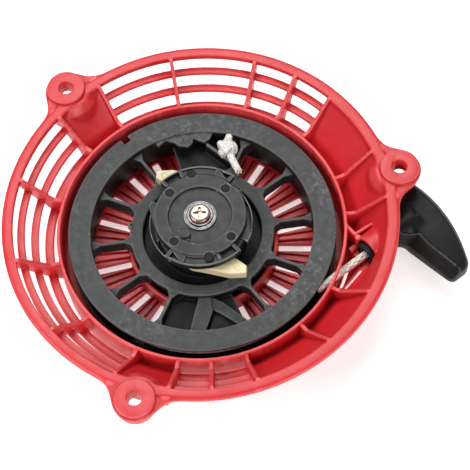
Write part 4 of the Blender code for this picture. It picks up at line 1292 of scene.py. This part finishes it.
def make_rope():
    count = WINDING_STEPS * WINDING_TURNS
    coil = []
    for i in range(count + 1):
        height = WINDING_LOW_Z + WINDING_RISE * i / count
        coil.append(polar(WINDING_R, 360 * WINDING_TURNS * i / count, height))
    piece("rope_turns", tube("rope_turns", coil, ROPE_R, 10), "reel", "rope_winding", ROPE)

    start, stop = (on_rope_line(along) for along in LEAD)
    lead = tube("rope_lead", line(start, stop, LEAD_STEP), ROPE_R, 42, 0.20, 6, 0.0050)
    obj = dressed("rope_lead", lead, ROPE[0])
    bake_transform(obj)
    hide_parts("rope_run", "rope_end")

    # The knot in the reel, its tail and loose fibres at the tail's end
    radius, height = REEL_KNOT
    centre = polar(radius, KNOT_ANGLE, height)
    reach = Vector((0.0075, 0.0075, 0.0070))
    field = Field(centre - reach, centre + reach, SMALL_STEP)
    for size, facing, radius in REEL_KNOT_LOOPS:
        field.add(cord(knot_points(centre, size, Vector(facing).normalized()), radius), blend=0.0004)
    field.add(cord([centre, centre + Vector((0.0006, 0.0010, 0))], 0.0036), blend=0.0004)
    bump = [centre + Vector(at) for at in ((0.0012, 0.0030, 0.0010), (0.0024, 0.0050, 0.0016))]
    field.add(cord(bump, 0.0018), blend=0.0008)
    field.soften(2)
    piece("reel_knot", field.mesh("reel_knot", KNOT_PIECE), "reel", "rope_knot", ROPE)
    direction = (polar(*TAIL_END) - centre).normalized()
    path = line(centre + direction * 0.002, centre + direction * TAIL_LENGTH, 0.0003)
    tail = tube("reel_knot_tail", path, TAIL_R, 36, 0.14, 6, 0.0046)
    piece("reel_knot_tail", tail, "reel", "rope_knot", ROPE)
    rng = np.random.default_rng(7)
    for i in range(FIBRES):
        a = centre + direction * 0.0138 + Vector(rng.uniform(-0.0009, 0.0009, 3))
        b = a + direction * rng.uniform(0.0012, 0.0024) + Vector(rng.uniform(-0.0007, 0.0007, 3))
        name = f"tail_fibre_{i + 1}"
        piece(name, tube(name, line(a, b, 0.0006), 0.00022, 6), "reel", "rope_knot", ROPE)

    centre = on_rope_line(HANDLE_KNOT_ALONG)
    reach = Vector((HANDLE_KNOT_REACH,) * 3)
    field = Field(centre - reach, centre + reach, SMALL_STEP)
    field.add(cord(knot_points(centre, 0.0028, ALONG), 0.0017), blend=0.0006)
    field.soften(2)
    piece("handle_knot", field.mesh("handle_knot", SMALL_PIECE), "grip", "grip_knot", ROPE)


def make_eyelet():
    turn = Vector((0, 0, 1)).rotation_difference(ALONG).to_matrix().to_4x4()
    place = Matrix.Translation(on_rope_line(EYELET_ALONG)) @ turn
    quarter = np.linspace(0, math.pi / 2, 6)
    mouth = [(0.0027 + 0.0009 * (1 - math.sin(a)), 0.0009 * (1 - math.cos(a))) for a in quarter]
    band = turned_mesh("eyelet", EYELET_BAND + tuple(reversed(mouth)), 56, place)
    piece("eyelet", band, "housing", "rope_guide", STEEL)
    bush = turned_mesh("eyelet_bush", EYELET_BUSH, 56, place)
    piece("eyelet_bush", bush, "housing", "rope_guide", DOT_BLACK)


def grip_place(x, y):
    """Distances along and aside of the rope line."""
    return x * ALONG.x + y * ALONG.y, x * ASIDE.x + y * ASIDE.y - ROPE_OFFSET


def grip_top(across, centre):
    """Height of the crossbar's upper face over a given centre."""
    return centre + GRIP_HALF_HEIGHT - GRIP_END_DROP * np.clip(np.abs(across) / GRIP_HALF, 0, 1) ** 2


def ridge_path(across):
    return np.interp(np.abs(across), *GRIP_RIDGE)


def crossbar(x, y, z):
    along, across = grip_place(x, y)
    crown = GRIP_CROWN - GRIP_CROWN_BOW * across ** 2
    inner = GRIP_INNER + np.maximum(np.abs(across) - GRIP_INNER_FLAT, 0) * GRIP_INNER_SLOPE
    half_along, half_high = (crown - inner) / 2, grip_top(across, 0)
    u = (along - (crown + inner) / 2) / half_along
    v = (z - GRIP_Z) / half_high
    section = polygon_distance(GRIP_SECTION, u, v) - GRIP_SECTION_ROUNDING
    return smooth_max(section * np.minimum(half_along, half_high), np.abs(across) - GRIP_HALF, 0.0028)


def nose(x, y, z):
    along, across = grip_place(x, y)
    start, stop = GRIP_NOSE
    round_part = np.hypot(across, z - ROPE_Z) - np.interp(along, *GRIP_NOSE_RADII)
    return smooth_max(round_part, np.maximum(start - along, along - stop), 0.0012)


def chamfer(x, y, z):
    """The part above a slope that falls from the ridge to the inner side."""
    along, across = grip_place(x, y)
    inward = ridge_path(across) - along
    top = grip_top(across, GRIP_Z) - 0.0002
    return np.maximum(top - GRIP_CHAMFER_SLOPE * inward - z, -inward)


def ridge_rise(x, y, z):
    """A low ridge along the upper face, which drops towards the nose."""
    along, across = grip_place(x, y)
    gap = np.maximum(np.abs(along - ridge_path(across)) - GRIP_RIDGE_HALF, np.abs(across) - GRIP_HALF + 0.004)
    above = np.clip((z - GRIP_Z) / 0.002, 0, 1)
    return (GRIP_RIDGE_RISE * np.exp(-(np.maximum(gap, 0) / 0.0004) ** 2) * above).astype(np.float32)


def make_grip():
    field = Field(*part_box("grip"), GRIP_STEP)
    field.add(crossbar)
    field.cut(chamfer, blend=0.0003)
    field.add(nose, blend=0.0030)
    field.values -= ridge_rise(*field.window(None, 0)[1])
    for bore in GRIP_BORES:
        field.cut(rope_rod(*bore), blend=0.0006)
    field.soften()
    piece("handle", field.mesh("handle", GRIP_PIECE), "grip", "grip", GRIP_BLACK)


def dress_kept_nodes():
    """Procedural finishes on the CAD nodes that stay."""
    for name, finish in (("recoil_spring", SPRING), ("friction_spring", SPRING), ("knot_washer", STEEL)):
        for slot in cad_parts[name].material_slots:
            slot.material = finish[0]


# ---- stage ----

def make_stage():
    data = bpy.data.meshes.new("floor")
    corners = [(x * FLOOR_HALF, y * FLOOR_HALF, FLOOR_Z) for x, y in ((-1, -1), (1, -1), (1, 1), (-1, 1))]
    data.from_pydata(corners, [], [(0, 1, 2, 3)])
    floor = placed("floor", data)
    f = Finish("pale_floor")
    f.shader.inputs["Emission Color"].default_value = (1, 1, 1, 1)
    f.shader.inputs["Emission Strength"].default_value = FLOOR_GLOW
    color = f.drift(3, 2, (0.86, 0.86, 0.86), (0.90, 0.90, 0.90))
    data.materials.append(f.done(color, f.roughness(8, 2, 0.7, 0.8), specular=0.1))

    world = bpy.data.worlds.new("studio")
    bpy.context.scene.world = world
    world.use_nodes = True
    background = world.node_tree.nodes["Background"]
    background.inputs["Color"].default_value = (1, 1, 1, 1)
    background.inputs["Strength"].default_value = WORLD_STRENGTH

    for name, place, size, power in LIGHTS:
        light = bpy.data.lights.new(name, "AREA")
        light.shape = "DISK"
        light.size = size
        light.energy = power
        turn = (-Vector(place)).to_track_quat("-Z", "Y").to_matrix().to_4x4()
        placed(name, light).matrix_world = Matrix.Translation(place) @ turn

    camera = bpy.data.cameras.new("camera")
    camera.lens = CAMERA_LENS
    camera.sensor_width = 36
    eye = placed("camera", camera)
    turn = Matrix((CAMERA_RIGHT, CAMERA_UP, -CAMERA_AHEAD)).transposed().to_4x4()
    eye.matrix_world = Matrix.Translation(CAMERA_PLACE) @ turn
    bpy.context.scene.camera = eye
    bpy.context.scene.view_settings.view_transform = "Standard"


make_stage()
make_housing()
make_reel()
make_ratchets()
make_guide()
make_small_springs()
make_screw()
make_rope()
make_eyelet()
make_grip()
dress_kept_nodes()
